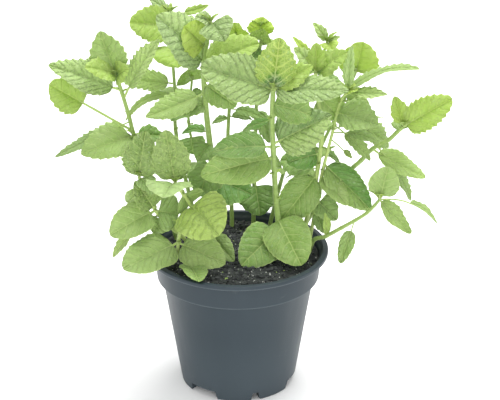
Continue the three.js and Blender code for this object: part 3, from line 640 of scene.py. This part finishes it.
def stem_material():
    n = Nodes("mint_stem_skin")
    pale = n.split(n.attribute("leaf_tone"))[2]
    streaks = n.noise(n.place(), 420.0, 3.0, 0.6)
    green = n.mix(pale, colour(108, 147, 60), colour(190, 210, 124))
    green = n.mix(n.ramp(streaks, 0.4, 0.75, 0.0, 0.35), green, colour(200, 220, 146))
    skin = n.add(
        "BsdfPrincipled",
        Base_Color=green,
        Roughness=n.ramp(streaks, 0.3, 0.7, 0.4, 0.55),
        Sheen_Weight=0.2,
        Normal=n.bump(streaks, 0.3, 0.0003),
    )
    return n.end(n.blend(0.25, skin, n.add("BsdfTranslucent", Color=green)))


def plastic_material():
    n = Nodes("pot_moulded_plastic")
    place = n.place()
    streak_place = n.add("Mapping", Vector=place, Scale=(1.0, 1.0, 0.12))
    streaks = n.noise(streak_place.outputs[0], 55.0, 3.0, 0.55)
    grain = n.noise(place, 2200.0, 2.0, 0.6)
    dust = n.noise(place, 120.0, 5.0, 0.7)
    slate = n.mix(streaks, colour(42, 52, 58), colour(51, 61, 67))
    slate = n.mix(n.ramp(dust, 0.62, 0.8, 0.0, 0.25), slate, colour(104, 108, 106))

    # Painted light: paler towards the base, where light from the floor falls on it; and worn along the
    # collar's foot and the lip's lower edge, with a painted highlight there as well
    height = n.split(place)[2]
    # Painted light: paler towards the base, for the light thrown up from the floor
    slate = n.mix(n.ramp(height, 0.0, 0.06, 0.4, 0.0), slate, colour(80, 90, 96))
    for edge in (COLLAR_FOOT + STEP_SLOPE, LIP_FOOT):
        off_edge = n.math("ABSOLUTE", n.math("SUBTRACT", height, edge * MM))
        # Wear with a painted highlight along each edge
        wear_and_highlight = n.ramp(off_edge, 0.0004, 0.0011, 0.38, 0.0)
        wear_and_highlight = n.times(wear_and_highlight, n.ramp(dust, 0.3, 0.6, 0.5, 1.0))
        slate = n.mix(wear_and_highlight, slate, colour(98, 107, 111))
    return n.end(n.add(
        "BsdfPrincipled",
        Base_Color=slate,
        Roughness=n.ramp(streaks, 0.3, 0.7, 0.4, 0.5),
        Specular_IOR_Level=0.22,
        Normal=n.bump(grain, 0.12, 0.0002),
    ))


def peat_material():
    n = Nodes("potting_soil_peat")
    place = n.place()
    coarse = n.noise(place, 260.0, 5.0, 0.65)
    fine = n.noise(place, 1500.0, 4.0, 0.7)
    peat = n.mix(n.ramp(coarse, 0.35, 0.7), colour(32, 36, 36), colour(68, 72, 69))
    peat = n.mix(n.ramp(fine, 0.6, 0.75, 0.0, 0.35), peat, colour(104, 104, 94))
    rough = n.bump(n.plus(coarse, n.times(fine, 0.5)), 0.9, 0.001)
    return n.end(n.add("BsdfPrincipled", Base_Color=peat, Roughness=0.92, Normal=rough))


def mottled_material(name, scale, dark, light, bump, roughness):
    """A skin with one fine noise in its colour and its height: bump is its strength and distance."""
    n = Nodes(name)
    mottle = n.noise(n.place(), scale, 3.0, 0.6)
    skin = n.mix(mottle, dark, light)
    normal = n.bump(mottle, *bump)
    return n.end(n.add("BsdfPrincipled", Base_Color=skin, Roughness=roughness, Normal=normal))


def floor_material():
    n = Nodes("studio_floor")
    pale = n.mix(n.noise(n.place(), 3.0, 2.0), colour(246, 246, 246), colour(250, 250, 250))
    return n.end(n.add("BsdfPrincipled", Base_Color=pale, Roughness=0.9, Specular_IOR_Level=0.1))


# Meshes from lists in millimetres
class Pile:
    """Points, faces, material numbers and the three leaf attributes of one piece, gathered bit by bit."""

    def __init__(self):
        self.points, self.faces, self.skins = [], [], []
        self.place, self.flat, self.tone = [], [], []
        self.count = 0

    def add(self, points, faces, skin=0, place=None, flat=None, tone=None):
        size = len(points)
        self.points.append(np.asarray(points, float))
        self.faces.extend(tuple(int(i) + self.count for i in face) for face in faces)
        self.skins.extend([skin] * len(faces))
        for store, rows in ((self.place, place), (self.flat, flat), (self.tone, tone)):
            store.append(np.zeros((size, 3)) if rows is None else np.broadcast_to(rows, (size, 3)))
        self.count += size

    def build(self, name, materials, with_leaf_values=False, sharp_degrees=50):
        mesh = bpy.data.meshes.new(name)
        points = np.concatenate(self.points)
        if with_leaf_values:
            points = held_inside(points)
        mesh.from_pydata((points * MM).tolist(), [], self.faces)
        mesh.polygons.foreach_set("use_smooth", [True] * len(mesh.polygons))
        for material in materials:
            mesh.materials.append(material)
        mesh.polygons.foreach_set("material_index", self.skins)
        if with_leaf_values:
            stores = {"leaf_place": self.place, "leaf_flat": self.flat, "leaf_tone": self.tone}
            for key, rows in stores.items():
                layer = mesh.attributes.new(key, "FLOAT_VECTOR", "POINT")
                layer.data.foreach_set("vector", np.concatenate(rows).astype(np.float32).ravel())
        mesh.validate()
        mesh.update()
        mesh.set_sharp_from_angle(angle=math.radians(sharp_degrees))
        return placed(name, mesh)


def placed(name, data):
    """A new object of the scene, with the given mesh, light or camera."""
    piece = bpy.data.objects.new(name, data)
    bpy.context.scene.collection.objects.link(piece)
    return piece


def unit(vector):
    return vector / np.linalg.norm(vector)


def smooth(value, low, high):
    share = np.clip((value - low) / (high - low), 0, 1)
    return share * share * (3 - 2 * share)


def held_inside(points):
    """Points that come near a side of the CAD's box are pressed gently back, so that none passes it."""
    low, high = (np.array(corner) / MM for corner in cad_box)
    margin = 2.0
    over = np.maximum(points - (high - margin), 0)
    under = np.maximum((low + margin) - points, 0)
    return points - (over - margin * np.tanh(over / margin)) + (under - margin * np.tanh(under / margin))


# Stems
def stem_line(points):
    """The stem's middle line, a Catmull-Rom curve. Its parameter counts the points from the root."""
    own = [np.array(point, float) for point in points]
    line = [2 * own[0] - own[1], *own, 2 * own[-1] - own[-2]]

    def at(place):
        i = min(int(place), len(own) - 2)
        t = place - i
        a, b, c, d = line[i : i + 4]
        square, cube = t * t, t * t * t
        return 0.5 * (
            2 * b + (c - a) * t + (2 * a - 5 * b + 4 * c - d) * square + (3 * b - a - 3 * c + d) * cube
        )

    return at


def tube(pile, centres, radii, sides, tone, lobes=0.0):
    """A closed tube along the given centres. With lobes, its section is a rounded square."""
    centres = np.array(centres)
    ahead = np.gradient(centres, axis=0)
    ahead /= np.linalg.norm(ahead, axis=1)[:, None]
    aside = unit(np.cross(ahead[0], (0.3, 1.0, 0.2)))
    points = []
    angles = np.arange(sides) * 2 * math.pi / sides
    shape = 1 + lobes * np.cos(4 * angles)
    for centre, forward, radius in zip(centres, ahead, radii):
        aside = unit(aside - forward * aside.dot(forward))
        up = np.cross(forward, aside)
        ring = np.outer(np.cos(angles), aside) + np.outer(np.sin(angles), up)
        points.extend(centre + radius * shape[:, None] * ring)
    faces = []
    rings = len(centres)
    for i in range(rings - 1):
        for k in range(sides):
            a, b = i * sides + k, i * sides + (k + 1) % sides
            faces.append((a, b, b + sides, a + sides))
    faces.append(tuple(reversed(range(sides))))
    faces.append(tuple(range((rings - 1) * sides, rings * sides)))
    pile.add(points, faces, STEM_SKIN, tone=tone)


# Leaves
class Leaf:
    """A leaf from its row of the table: how it lies, its tone, and the grid that its blade is built on."""

    def __init__(self, line, name, row, draw):
        at, reach, self.width, face, *rest = row
        self.arch, fold, self.petiole, self.power = [*rest, *LEAF_DEFAULTS[len(rest) :]]
        self.fold = math.radians(fold)
        self.base = line(at)
        self.reach = np.array(reach, float)
        self.length = np.linalg.norm(self.reach)
        along = self.reach / self.length
        face = np.array(face, float)
        self.face = unit(face - along * face.dot(along))
        self.side = np.cross(along, self.face)

        self.name = name
        self.kind = KIND_OF.get(name, "mid")
        bright, yellow, self.quilt, self.veins = KINDS[self.kind]
        self.bright = min(1, max(0, bright + draw.uniform(-0.06, 0.06)))
        self.yellow = min(1, max(0, yellow + draw.uniform(-0.08, 0.08)))
        self.chance = draw.uniform(0, 100)

        # The grid: v runs along the blade from 0 to 1, and s across it from -1 to 1
        self.blade = self.length * (1 - self.petiole)
        self.teeth = int(np.clip(round(self.blade / TOOTH_LENGTH), 4, 10))
        self.along = np.linspace(0, 1, self.teeth * ROWS_A_TOOTH + 1)
        self.half_width = self.outline()[:, None]
        half_columns = 3 + int(min(self.width, 35) / COLUMN_WIDTH)
        s = np.linspace(-1, 1, 2 * half_columns + 1)
        s = np.sign(s) * np.abs(s) ** 0.92
        self.v, self.s = np.meshgrid(self.along, s, indexing="ij")
        self.off_mid = np.abs(self.s)
        self.across = self.s * self.half_width

    def middle(self, u):
        """The middle line's points and the way up from them, at shares u of the whole reach."""
        u = np.asarray(u, float)[:, None]
        bow = self.face * (self.arch * self.length * 4)
        centre = self.base + self.reach * u + bow * u * (1 - u)
        ahead = self.reach + bow * (1 - 2 * u)
        ahead /= np.linalg.norm(ahead, axis=1)[:, None]
        up = self.face - ahead * (ahead @ self.face)[:, None]
        up /= np.linalg.norm(up, axis=1)[:, None]
        return centre, up

    def outline(self):
        """Half the blade's width along its length, with its teeth, each a slow rise and a quick fall."""
        v = self.along
        plain = self.width / 2 * np.sin(math.pi * v**WIDEST_POWER) ** self.power
        tooth = (v * self.teeth) % 1.0
        rise = np.where(tooth < 0.81, tooth / 0.8, 0.0)
        depth = ROUND_TOOTH_DEPTH if self.name in ROUND_LEAVES else SHARP_TOOTH_DEPTH
        depth = depth * min(1, self.blade / 26)
        cut = depth * smooth(v, 0.05, 0.22) * (1 - 0.6 * smooth(v, 0.85, 1.0))
        toothed = plain + np.minimum(cut, 0.22 * plain) * (rise - 0.75)
        return np.maximum(toothed, 0.5 * (1 - v))

    def relief(self):
        """The side veins' phase, a whole number on each vein, and how far the tissue lies above the fold."""
        v, off_mid, half_width = self.v, self.off_mid, self.half_width
        crumpled = self.kind in CRUMPLED_KINDS
        pairs = int(np.clip(round(self.blade / VEIN_SPACING), 3, 6))
        phase = (v - VEIN_LEAN * off_mid**1.25 * np.clip(1.3 - v, 0.3, 1)) * (pairs + 1)
        wander = 0.6 if crumpled else 0.22
        crumple = np.zeros_like(phase)
        for at in np.ndindex(phase.shape):
            spot = Vector((self.across[at] * 0.3, v[at] * self.blade * 0.3, self.chance))
            crumple[at] = noise.noise(spot)
            phase[at] += wander * noise.noise(spot * 0.45 + Vector((9.0, 0.0, 0.0)))

        # Each half is domed, and quilted between the side veins, with a groove over the midrib
        quilt = self.quilt * min(1, self.width / 20)
        bulge = smooth(np.abs((phase + 0.5) % 1.0 - 0.5), 0.0, 0.34)
        bulge_share = smooth(off_mid, 0.04, 0.3) * (1 - 0.6 * smooth(off_mid, 0.75, 1.0))
        ribs = (0.3 if crumpled else 0.75) * quilt * (bulge - 0.6) * bulge_share
        dome = 0.1 * half_width * (4 * off_mid * (1 - off_mid))
        wave = 0.09 * half_width * off_mid**2
        wave = wave * np.sin(2 * math.pi * (1.6 * v + self.chance) + 1.5 * self.s)
        frill = 0.22 * off_mid**4 * np.sin(2 * math.pi * self.teeth * v + 3 * self.s)
        groove = -0.12 * np.exp(-((self.across / 0.8) ** 2)) * np.clip(self.width / 14, 0.3, 1)
        lift = ribs + dome + wave + frill * min(1, self.width / 20) + groove + 0.8 * quilt * crumple
        tip_droop = 0.35 * (half_width / (self.width / 2)) * smooth(v, 0.8, 1.0) * off_mid
        return phase, lift - tip_droop

    def tone(self):
        """How bright and how yellow the blade is, with its painted light and shade, and how far its veins
        stand out, over the grid.
        """
        bright = np.full_like(self.v, self.bright)
        yellow = np.full_like(self.v, self.yellow)
        # Painted light and shade: one half of the blade lit, the other shaded
        if self.name in LIT_AND_SHADED_HALVES:
            half = np.sign(self.s) * smooth(self.off_mid, 0, 0.1)
            bright = np.clip(bright + LIT_AND_SHADED_HALVES[self.name] * half, 0, 1)
        # Painted shade towards the blade's base
        if self.name in SHADED_BASES:
            shade = SHADED_BASES[self.name] * (1 - smooth(self.v + 0.3 * self.off_mid, 0.14, 0.4))
            bright = bright - shade
            yellow = yellow - shade
        return np.stack([bright, yellow, np.full_like(self.v, self.veins)], -1)


def add_blade(pile, leaf):
    """A closed thin blade: an upper and a lower side that share its edge."""
    phase, lift = leaf.relief()
    centre, up = leaf.middle(leaf.petiole + (1 - leaf.petiole) * leaf.along)
    middle = centre[:, None, :] + leaf.side * (leaf.across * math.cos(leaf.fold))[..., None]
    height = np.abs(leaf.across) * math.sin(leaf.fold) + lift
    thick = BLADE_THICKNESS * (1 - smooth(leaf.off_mid, 0.6, 1.0))
    thick = thick * np.clip(np.sin(math.pi * leaf.v) * 3, 0, 1)
    upper = middle + up[:, None, :] * (height + thick / 2)[..., None]
    lower = middle + up[:, None, :] * (height - thick / 2)[..., None]

    rows, columns = phase.shape
    inside = np.zeros((rows, columns), bool)
    inside[1:-1, 1:-1] = True
    above = np.arange(rows * columns).reshape(rows, columns)
    below = above.copy()
    below[inside] = rows * columns + np.arange(inside.sum())
    faces = []
    for i in range(rows - 1):
        for j in range(columns - 1):
            corners = [(i, j), (i, j + 1), (i + 1, j + 1), (i + 1, j)]
            faces.append([above[corner] for corner in corners])
            faces.append([below[corner] for corner in (corners[0], *corners[:0:-1])])

    shown = CRUMPLED_KINDS.get(leaf.kind, min(1, leaf.quilt / DEEPLY_QUILTED))
    place = np.stack([leaf.s, np.full_like(phase, shown), phase], -1)
    flat = np.stack([leaf.across, leaf.v * leaf.blade, np.full_like(phase, leaf.chance)], -1)
    points = np.concatenate([upper.reshape(-1, 3), lower[inside]])
    values = [np.concatenate([grid.reshape(-1, 3), grid[inside]]) for grid in (place, flat, leaf.tone())]
    pile.add(points, faces, LEAF_TISSUE, *values)


def add_petiole(pile, leaf):
    """The petiole, which runs on under the blade as its midrib."""
    petiole = leaf.petiole
    last = petiole + (1 - petiole) * 0.9
    u = np.concatenate([np.linspace(0, petiole, 6)[:-1], np.linspace(petiole, last, 12)])
    centre, up = leaf.middle(u)
    share = np.clip((u - petiole) / (last - petiole), 0, 1)
    thickness = np.clip(leaf.width / 20, 0.55, 1)
    midrib = (MIDRIB_START_RADIUS - MIDRIB_END_RADIUS) * (1 - share) + MIDRIB_END_RADIUS
    radii = np.where(u < petiole, PETIOLE_RADIUS, midrib) * thickness
    drop = np.where(u < petiole, 0.0, 0.25 * thickness + 0.15)
    tube(pile, centre - up * drop[:, None], radii, PETIOLE_SIDES, (0, 0, 0.45 + 0.4 * leaf.bright))


def add_leaf(pile, line, name, row, draw):
    leaf = Leaf(line, name, row, draw)
    add_blade(pile, leaf)
    add_petiole(pile, leaf)


def add_young_leaves(pile, line, last, first_node, draw):
    """Small leaves round the stem's tip, and a pair of tiny ones at each upper node."""
    places = [(last, TIP_LEAVES)] + [(node, NODE_LEAVES) for node in range(first_node, last)]
    for at, (count, shortest, longest, rise) in places:
        start = draw.uniform(0, math.tau)
        for k in range(count):
            angle = start + math.tau * k / count + draw.uniform(-0.3, 0.3)
            size = draw.uniform(shortest, longest)
            out = (math.cos(angle), math.sin(angle))
            reach = [size * out[0], size * out[1], size * rise]
            face = [-0.6 * out[0], -0.6 * out[1], 1]
            add_leaf(pile, line, "young", [at, reach, size * 0.6, face, 0.1, 20, 0.12, 0.6], draw)


def add_hairs(pile, centres, radii, draw):
    """Fine short hairs, each a closed three-sided spike, all along the stem above the soil."""
    above = [i for i in range(len(centres) - 1) if centres[i][2] > SOIL_EDGE_Z + 4]
    for i in above:
        for _ in range(HAIRS_A_STEP):
            share = draw.random()
            centre = centres[i] * (1 - share) + centres[i + 1] * share
            ahead = unit(centres[i + 1] - centres[i])
            angle = draw.uniform(0, math.tau)
            aside = unit(np.cross(ahead, (0.3, 1.0, 0.2)))
            out = math.cos(angle) * aside + math.sin(angle) * np.cross(ahead, aside)
            root = centre + out * radii[i] * 0.85
            tip = root + (out + ahead * draw.uniform(-0.4, 0.4)) * draw.uniform(*HAIR_LENGTHS)
            across = np.cross(ahead, out)
            heel = root - 0.03 * ahead
            corners = [root + 0.06 * ahead, heel + 0.05 * across, heel - 0.05 * across]
            faces = [(0, 2, 1), (0, 1, 3), (1, 2, 3), (2, 0, 3)]
            pile.add([*corners, tip], faces, STEM_SKIN, tone=(0, 0, 1))


def build_shoot(name, shoot, materials):
    draw = random.Random("mint " + name)
    pile = Pile()
    line = stem_line(shoot["stem"])
    last = len(shoot["stem"]) - 1
    steps = last * STEPS_A_POINT
    places = [last * i / steps for i in range(steps + 1)]
    centres = [line(place) for place in places]
    low, high = shoot["radius"]
    radii = []
    for place in places:
        near_node = math.exp(-(((place - round(place)) / NODE_LENGTH) ** 2)) if place > 0.5 else 0
        radii.append((low + (high - low) * place / last) * (1 + NODE_SWELLING * near_node))
    tube(pile, centres, radii, STEM_SIDES, (0, 0, 0.9 if name in PALE_STEMS else 0.4), STEM_SQUARENESS)
    for leaf, row in shoot["leaves"].items():
        add_leaf(pile, line, leaf, row, draw)
    add_young_leaves(pile, line, last, last if name in BARE_STEMS else 2, draw)
    add_hairs(pile, centres, radii, draw)
    piece = pile.build("mint_" + name, materials, True)
    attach(piece, "root")
    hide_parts("shoot_" + name)


# Pot
def turned(name, profile, materials):
    """A closed round solid about the z axis, from a profile of (radius, z) up its outside."""
    points, starts = [], []
    for radius, z in profile:
        starts.append(len(points))
        if radius == 0:
            points.append((0, 0, z))
        else:
            turns = [2 * math.pi * k / POT_STEPS for k in range(POT_STEPS)]
            points.extend((radius * math.sin(turn), -radius * math.cos(turn), z) for turn in turns)
    faces = []
    for i in range(len(profile) - 1):
        a, b = starts[i], starts[i + 1]
        for k in range(POT_STEPS):
            m = (k + 1) % POT_STEPS
            if profile[i][0] == 0:
                faces.append((a, b + m, b + k))
            elif profile[i + 1][0] == 0:
                faces.append((a + k, a + m, b))
            else:
                faces.append((a + k, a + m, b + m, b + k))
    pile = Pile()
    pile.add(points, faces)
    return pile.build(name, materials)


def spoke_bars(name, rows):
    """Bars with trapezoid ends along spokes of the pot: (width, height, slope, from, to, z, turn)."""
    pile = Pile()
    for width, height, slope, start, end, z, turn in rows:
        half = width / 2
        section = [(-half, 0), (half, 0), (half - slope, height), (-half + slope, height)]
        place = Matrix.Rotation(math.radians(turn), 4, "Z")
        points = [place @ Vector((x, -reach, z + rise)) for reach in (start, end) for x, rise in section]
        faces = [(0, 3, 2, 1), (4, 5, 6, 7), (0, 1, 5, 4), (1, 2, 6, 5), (2, 3, 7, 6), (3, 0, 4, 7)]
        pile.add(points, faces)
    return pile.build(name, [])


def foot_recesses(name, margin):
    """The recesses between the pot's feet, made larger by a margin: a narrow one and two wide ones,
    on each side of the pot."""
    height = FOOT_RECESS_HEIGHT + CUT_PAST + margin
    start = FOOT_RECESS_INNER_RADIUS - margin
    rows = []
    for half in (0, 180):
        turn = half + NARROW_RECESS_TURN
        places = [(NARROW_RECESS_WIDTH, turn)]
        places += [(WIDE_RECESS_WIDTH, turn + side * WIDE_RECESS_TURN) for side in (-1, 1)]
        for width, place in places:
            width += 2 * margin
            rows.append((width, height, FOOT_RECESS_SLOPE, start, LIP_RADIUS, -CUT_PAST, place))
    return spoke_bars(name, rows)


def lip_pockets(name):
    """The shallow pockets in the collar, under the lip."""
    start = COLLAR_TOP_RADIUS - POCKET_DEPTH
    end = LIP_RADIUS - 1.5
    z = LIP_FOOT - POCKET_HEIGHT
    turns = [360 / POCKET_COUNT * i for i in range(POCKET_COUNT)]
    return spoke_bars(name, [(POCKET_WIDTH, POCKET_HEIGHT, 0, start, end, z, turn) for turn in turns])


def carve(piece, cutter):
    """Cuts the cutter from the piece for good, and removes the cutter."""
    modifier = piece.modifiers.new("carve", "BOOLEAN")
    modifier.operation = "DIFFERENCE"
    modifier.solver = "EXACT"
    modifier.object = cutter
    depsgraph = bpy.context.evaluated_depsgraph_get()
    carved = bpy.data.meshes.new_from_object(piece.evaluated_get(depsgraph))
    piece.modifiers.clear()
    old = piece.data
    piece.data = carved
    bpy.data.meshes.remove(old)
    bpy.data.objects.remove(cutter)


def arc(centre, radius, start, end, steps):
    """Points of (radius, z) along a rounding, with its angles in degrees from straight out."""
    turns = [math.radians(start + (end - start) * i / steps) for i in range(steps + 1)]
    return [(centre[0] + radius * math.cos(t), centre[1] + radius * math.sin(t)) for t in turns]


def pot_outside():
    """The profile up the pot's outside, with its rounded edges."""
    collar_start = COLLAR_FOOT + STEP_SLOPE
    collar_edge = (COLLAR_FOOT_RADIUS - COLLAR_EDGE, collar_start + 0.4)
    lip_under = (LIP_RADIUS - LIP_UNDER_EDGE, LIP_FOOT + LIP_UNDER_EDGE)
    lip_top = (LIP_RADIUS - LIP_TOP_EDGE, POT_HEIGHT - LIP_TOP_EDGE)
    return [
        (0, 0),
        (BASE_RADIUS - 1.2, 0),
        *arc((BASE_RADIUS - BASE_EDGE, BASE_EDGE), BASE_EDGE, -70, 0, 4),
        (BODY_TOP_RADIUS, COLLAR_FOOT - 0.2),
        (BODY_TOP_RADIUS + 0.15, COLLAR_FOOT),
        (COLLAR_FOOT_RADIUS - 0.5, collar_start - 0.05),
        *arc(collar_edge, COLLAR_EDGE, -60, 0, 4),
        (COLLAR_TOP_RADIUS, LIP_FOOT - 0.25),
        (COLLAR_TOP_RADIUS + 0.25, LIP_FOOT),
        (LIP_RADIUS - 0.4, LIP_FOOT),
        *arc(lip_under, LIP_UNDER_EDGE, -70, 0, 3),
        *arc(lip_top, LIP_TOP_EDGE, 0, 90, 6),
        (0, POT_HEIGHT),
    ]


def pot_inside():
    """The profile up the pot's cavity."""
    return [
        (0, WALL),
        (BASE_RADIUS - WALL, WALL),
        (BODY_TOP_RADIUS - WALL, COLLAR_FOOT),
        (COLLAR_FOOT_RADIUS - WALL, COLLAR_FOOT + STEP_SLOPE + WALL),
        (COLLAR_TOP_RADIUS - WALL, LIP_FOOT - LIP_FLARE_START),
        (LIP_INNER_RADIUS - 0.25, POT_HEIGHT - 0.6),
        (LIP_INNER_RADIUS, POT_HEIGHT - 0.2),
        (LIP_INNER_RADIUS + 0.2, POT_HEIGHT),
        (LIP_INNER_RADIUS + 0.2, POT_HEIGHT + CUT_PAST),
        (0, POT_HEIGHT + CUT_PAST),
    ]


def build_pot(material):
    outside = turned("nursery_pot", pot_outside(), [material])
    cavity = turned("cavity", pot_inside(), [])
    carve(cavity, foot_recesses("walled", WALL))
    carve(outside, cavity)
    carve(outside, foot_recesses("recesses", 0))
    carve(outside, lip_pockets("pockets"))
    outside.data.polygons.foreach_set("use_smooth", [True] * len(outside.data.polygons))
    outside.data.set_sharp_from_angle(angle=math.radians(32))
    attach(outside, "root")
    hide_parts("pot")


# Soil
def soil_height(x, y):
    """How far the soil's surface lies above its smooth mound."""
    spot = Vector((x, y, 7.0))
    lumps = noise.noise(spot * 0.11) * 0.9
    clods = noise.noise(spot * 0.33) * 0.75
    crumbs = noise.noise(spot * 0.95) * 0.45
    return lumps + clods + crumbs


def mound(radius):
    """The height of the soil's smooth mound at a distance from the pot's axis."""
    share = min(radius / SOIL_RADIUS, 1)
    return SOIL_EDGE_Z + SOIL_MOUND * (1 - share * share)


def crumb(pile, centre, size, skin, draw, squash):
    """A small rough lump: an icosahedron with each corner moved a little. Its t is the golden ratio."""
    t = (1 + math.sqrt(5)) / 2
    corners = [
        (-1, t, 0), (1, t, 0), (-1, -t, 0), (1, -t, 0), (0, -1, t), (0, 1, t),
        (0, -1, -t), (0, 1, -t), (t, 0, -1), (t, 0, 1), (-t, 0, -1), (-t, 0, 1),
    ]
    faces = [
        (0, 11, 5), (0, 5, 1), (0, 1, 7), (0, 7, 10), (0, 10, 11), (1, 5, 9), (5, 11, 4),
        (11, 10, 2), (10, 7, 6), (7, 1, 8), (3, 9, 4), (3, 4, 2), (3, 2, 6), (3, 6, 8),
        (3, 8, 9), (4, 9, 5), (2, 4, 11), (6, 2, 10), (8, 6, 7), (9, 8, 1),
    ]
    turn = Matrix.Rotation(draw.uniform(0, math.tau), 3, "Z")
    spin = turn @ Matrix.Rotation(draw.uniform(-0.6, 0.6), 3, "X")
    stretch = draw.uniform(0.7, 1.3)
    points = []
    for corner in corners:
        own = Vector(corner).normalized() * size * draw.uniform(0.75, 1.1)
        own = spin @ Vector((own.x * stretch, own.y, own.z * squash))
        points.append(tuple(Vector(centre) + own))
    pile.add(points, faces, skin)


def add_filling(pile):
    """The soil's rough surface, and the plain sides and base under it, which follow the pot's wall."""
    turns = [math.tau * k / SOIL_STEPS for k in range(SOIL_STEPS)]
    points = [(0, 0, mound(0) + soil_height(0, 0))]
    for i in range(1, SOIL_RINGS + 1):
        radius = SOIL_RADIUS * i / SOIL_RINGS
        keep = 1 - 0.6 * float(smooth(radius, SOIL_RADIUS - 3, SOIL_RADIUS))
        for turn in turns:
            x, y = radius * math.cos(turn), radius * math.sin(turn)
            points.append((x, y, mound(radius) + soil_height(x, y) * keep - 0.5 * (1 - keep)))
    gap = WALL + CLEARANCE
    floor_z = FOOT_RECESS_HEIGHT + gap + 0.5
    lower_rings = (
        (COLLAR_FOOT_RADIUS - gap, COLLAR_FOOT + STEP_SLOPE + gap),
        (BODY_TOP_RADIUS - gap, COLLAR_FOOT),
        (BASE_RADIUS - gap + 1.4, floor_z),
    )
    for radius, z in lower_rings:
        points.extend((radius * math.cos(turn), radius * math.sin(turn), z) for turn in turns)
    points.append((0, 0, floor_z))

    faces = [(0, 1 + k, 1 + (k + 1) % SOIL_STEPS) for k in range(SOIL_STEPS)]
    for i in range(SOIL_RINGS + len(lower_rings) - 1):
        for k in range(SOIL_STEPS):
            a, b = 1 + i * SOIL_STEPS + k, 1 + i * SOIL_STEPS + (k + 1) % SOIL_STEPS
            faces.append((a, a + SOIL_STEPS, b + SOIL_STEPS, b))
    bottom = len(points) - 1
    rim = bottom - SOIL_STEPS
    faces.extend((bottom, rim + (k + 1) % SOIL_STEPS, rim + k) for k in range(SOIL_STEPS))
    pile.add(points, faces, PEAT)


def build_soil(materials):
    draw = random.Random("potting soil")
    pile = Pile()
    add_filling(pile)
    for count, smallest, largest, skin, squash, rise in SOIL_BITS:
        for _ in range(count):
            radius = (SOIL_RADIUS - 1.6) * math.sqrt(draw.random())
            angle = draw.uniform(0, math.tau)
            x, y = radius * math.cos(angle), radius * math.sin(angle)
            size = smallest + (largest - smallest) * draw.random() ** 2.2
            z = mound(radius) + soil_height(x, y) + rise * size
            crumb(pile, (x, y, z), size, skin, draw, squash)
    piece = pile.build("potting_soil", materials, sharp_degrees=40)
    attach(piece, "root")
    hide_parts("soil")


# The whole plant
perlite = mottled_material(
    "potting_soil_perlite", 900.0, colour(128, 132, 128), colour(198, 200, 192), (0.5, 0.0004), 0.85
)
litter = mottled_material(
    "potting_soil_litter", 500.0, colour(112, 150, 62), colour(170, 186, 104), (0.4, 0.0003), 0.7
)
build_pot(plastic_material())
build_soil([peat_material(), perlite, litter])
leaf_skins = [leaf_material(), stem_material()]
for shoot_name, shoot_rows in SHOOTS.items():
    build_shoot(shoot_name, shoot_rows, leaf_skins)

# Floor, light and camera
FLOOR_HALF = 12.0
floor_mesh = bpy.data.meshes.new("floor")
corners = [(-1, -1), (1, -1), (1, 1), (-1, 1)]
floor_mesh.from_pydata([(x * FLOOR_HALF, y * FLOOR_HALF, 0) for x, y in corners], [], [(0, 1, 2, 3)])
floor_mesh.materials.append(floor_material())
floor = placed("floor", floor_mesh)

world = bpy.data.worlds.new("studio")
world.use_nodes = True
background = world.node_tree.nodes["Background"]
background.inputs["Color"].default_value = (1, 1, 1, 1)
background.inputs["Strength"].default_value = 1.0
bpy.context.scene.world = world


def area_light(name, place, aim, size, watts):
    data = bpy.data.lights.new(name, "AREA")
    data.shape = "DISK"
    data.size = size
    data.energy = watts
    lamp = placed(name, data)
    lamp.location = place
    lamp.rotation_mode = "QUATERNION"
    lamp.rotation_quaternion = (Vector(aim) - Vector(place)).to_track_quat("-Z", "Y")


area_light("overhead", (0.2, 0.35, 1.5), (0, 0, 0.15), size=1.0, watts=30)
area_light("front_soft", (-0.7, -1.6, 1.1), (0, 0, 0.12), size=1.4, watts=4)
area_light("front_low", (0.1, -1.5, 0.3), (0, 0, 0), size=1.0, watts=8)

CAMERA_DISTANCE = 1.2
CAMERA_RISE = math.radians(24)
CAMERA_AIM = Vector((0.008, 0, 0.13))
CAMERA_LENS = 131.5
camera_data = bpy.data.cameras.new("camera")
camera_data.lens = CAMERA_LENS
camera_data.sensor_width = 36
camera_data.clip_end = 100
camera = placed("camera", camera_data)
back = Vector((0, -math.cos(CAMERA_RISE), math.sin(CAMERA_RISE)))
camera.location = CAMERA_AIM + CAMERA_DISTANCE * back
camera.rotation_euler = (math.pi / 2 - CAMERA_RISE, 0, 0)
bpy.context.scene.camera = camera
bpy.context.scene.view_settings.view_transform = "Standard"
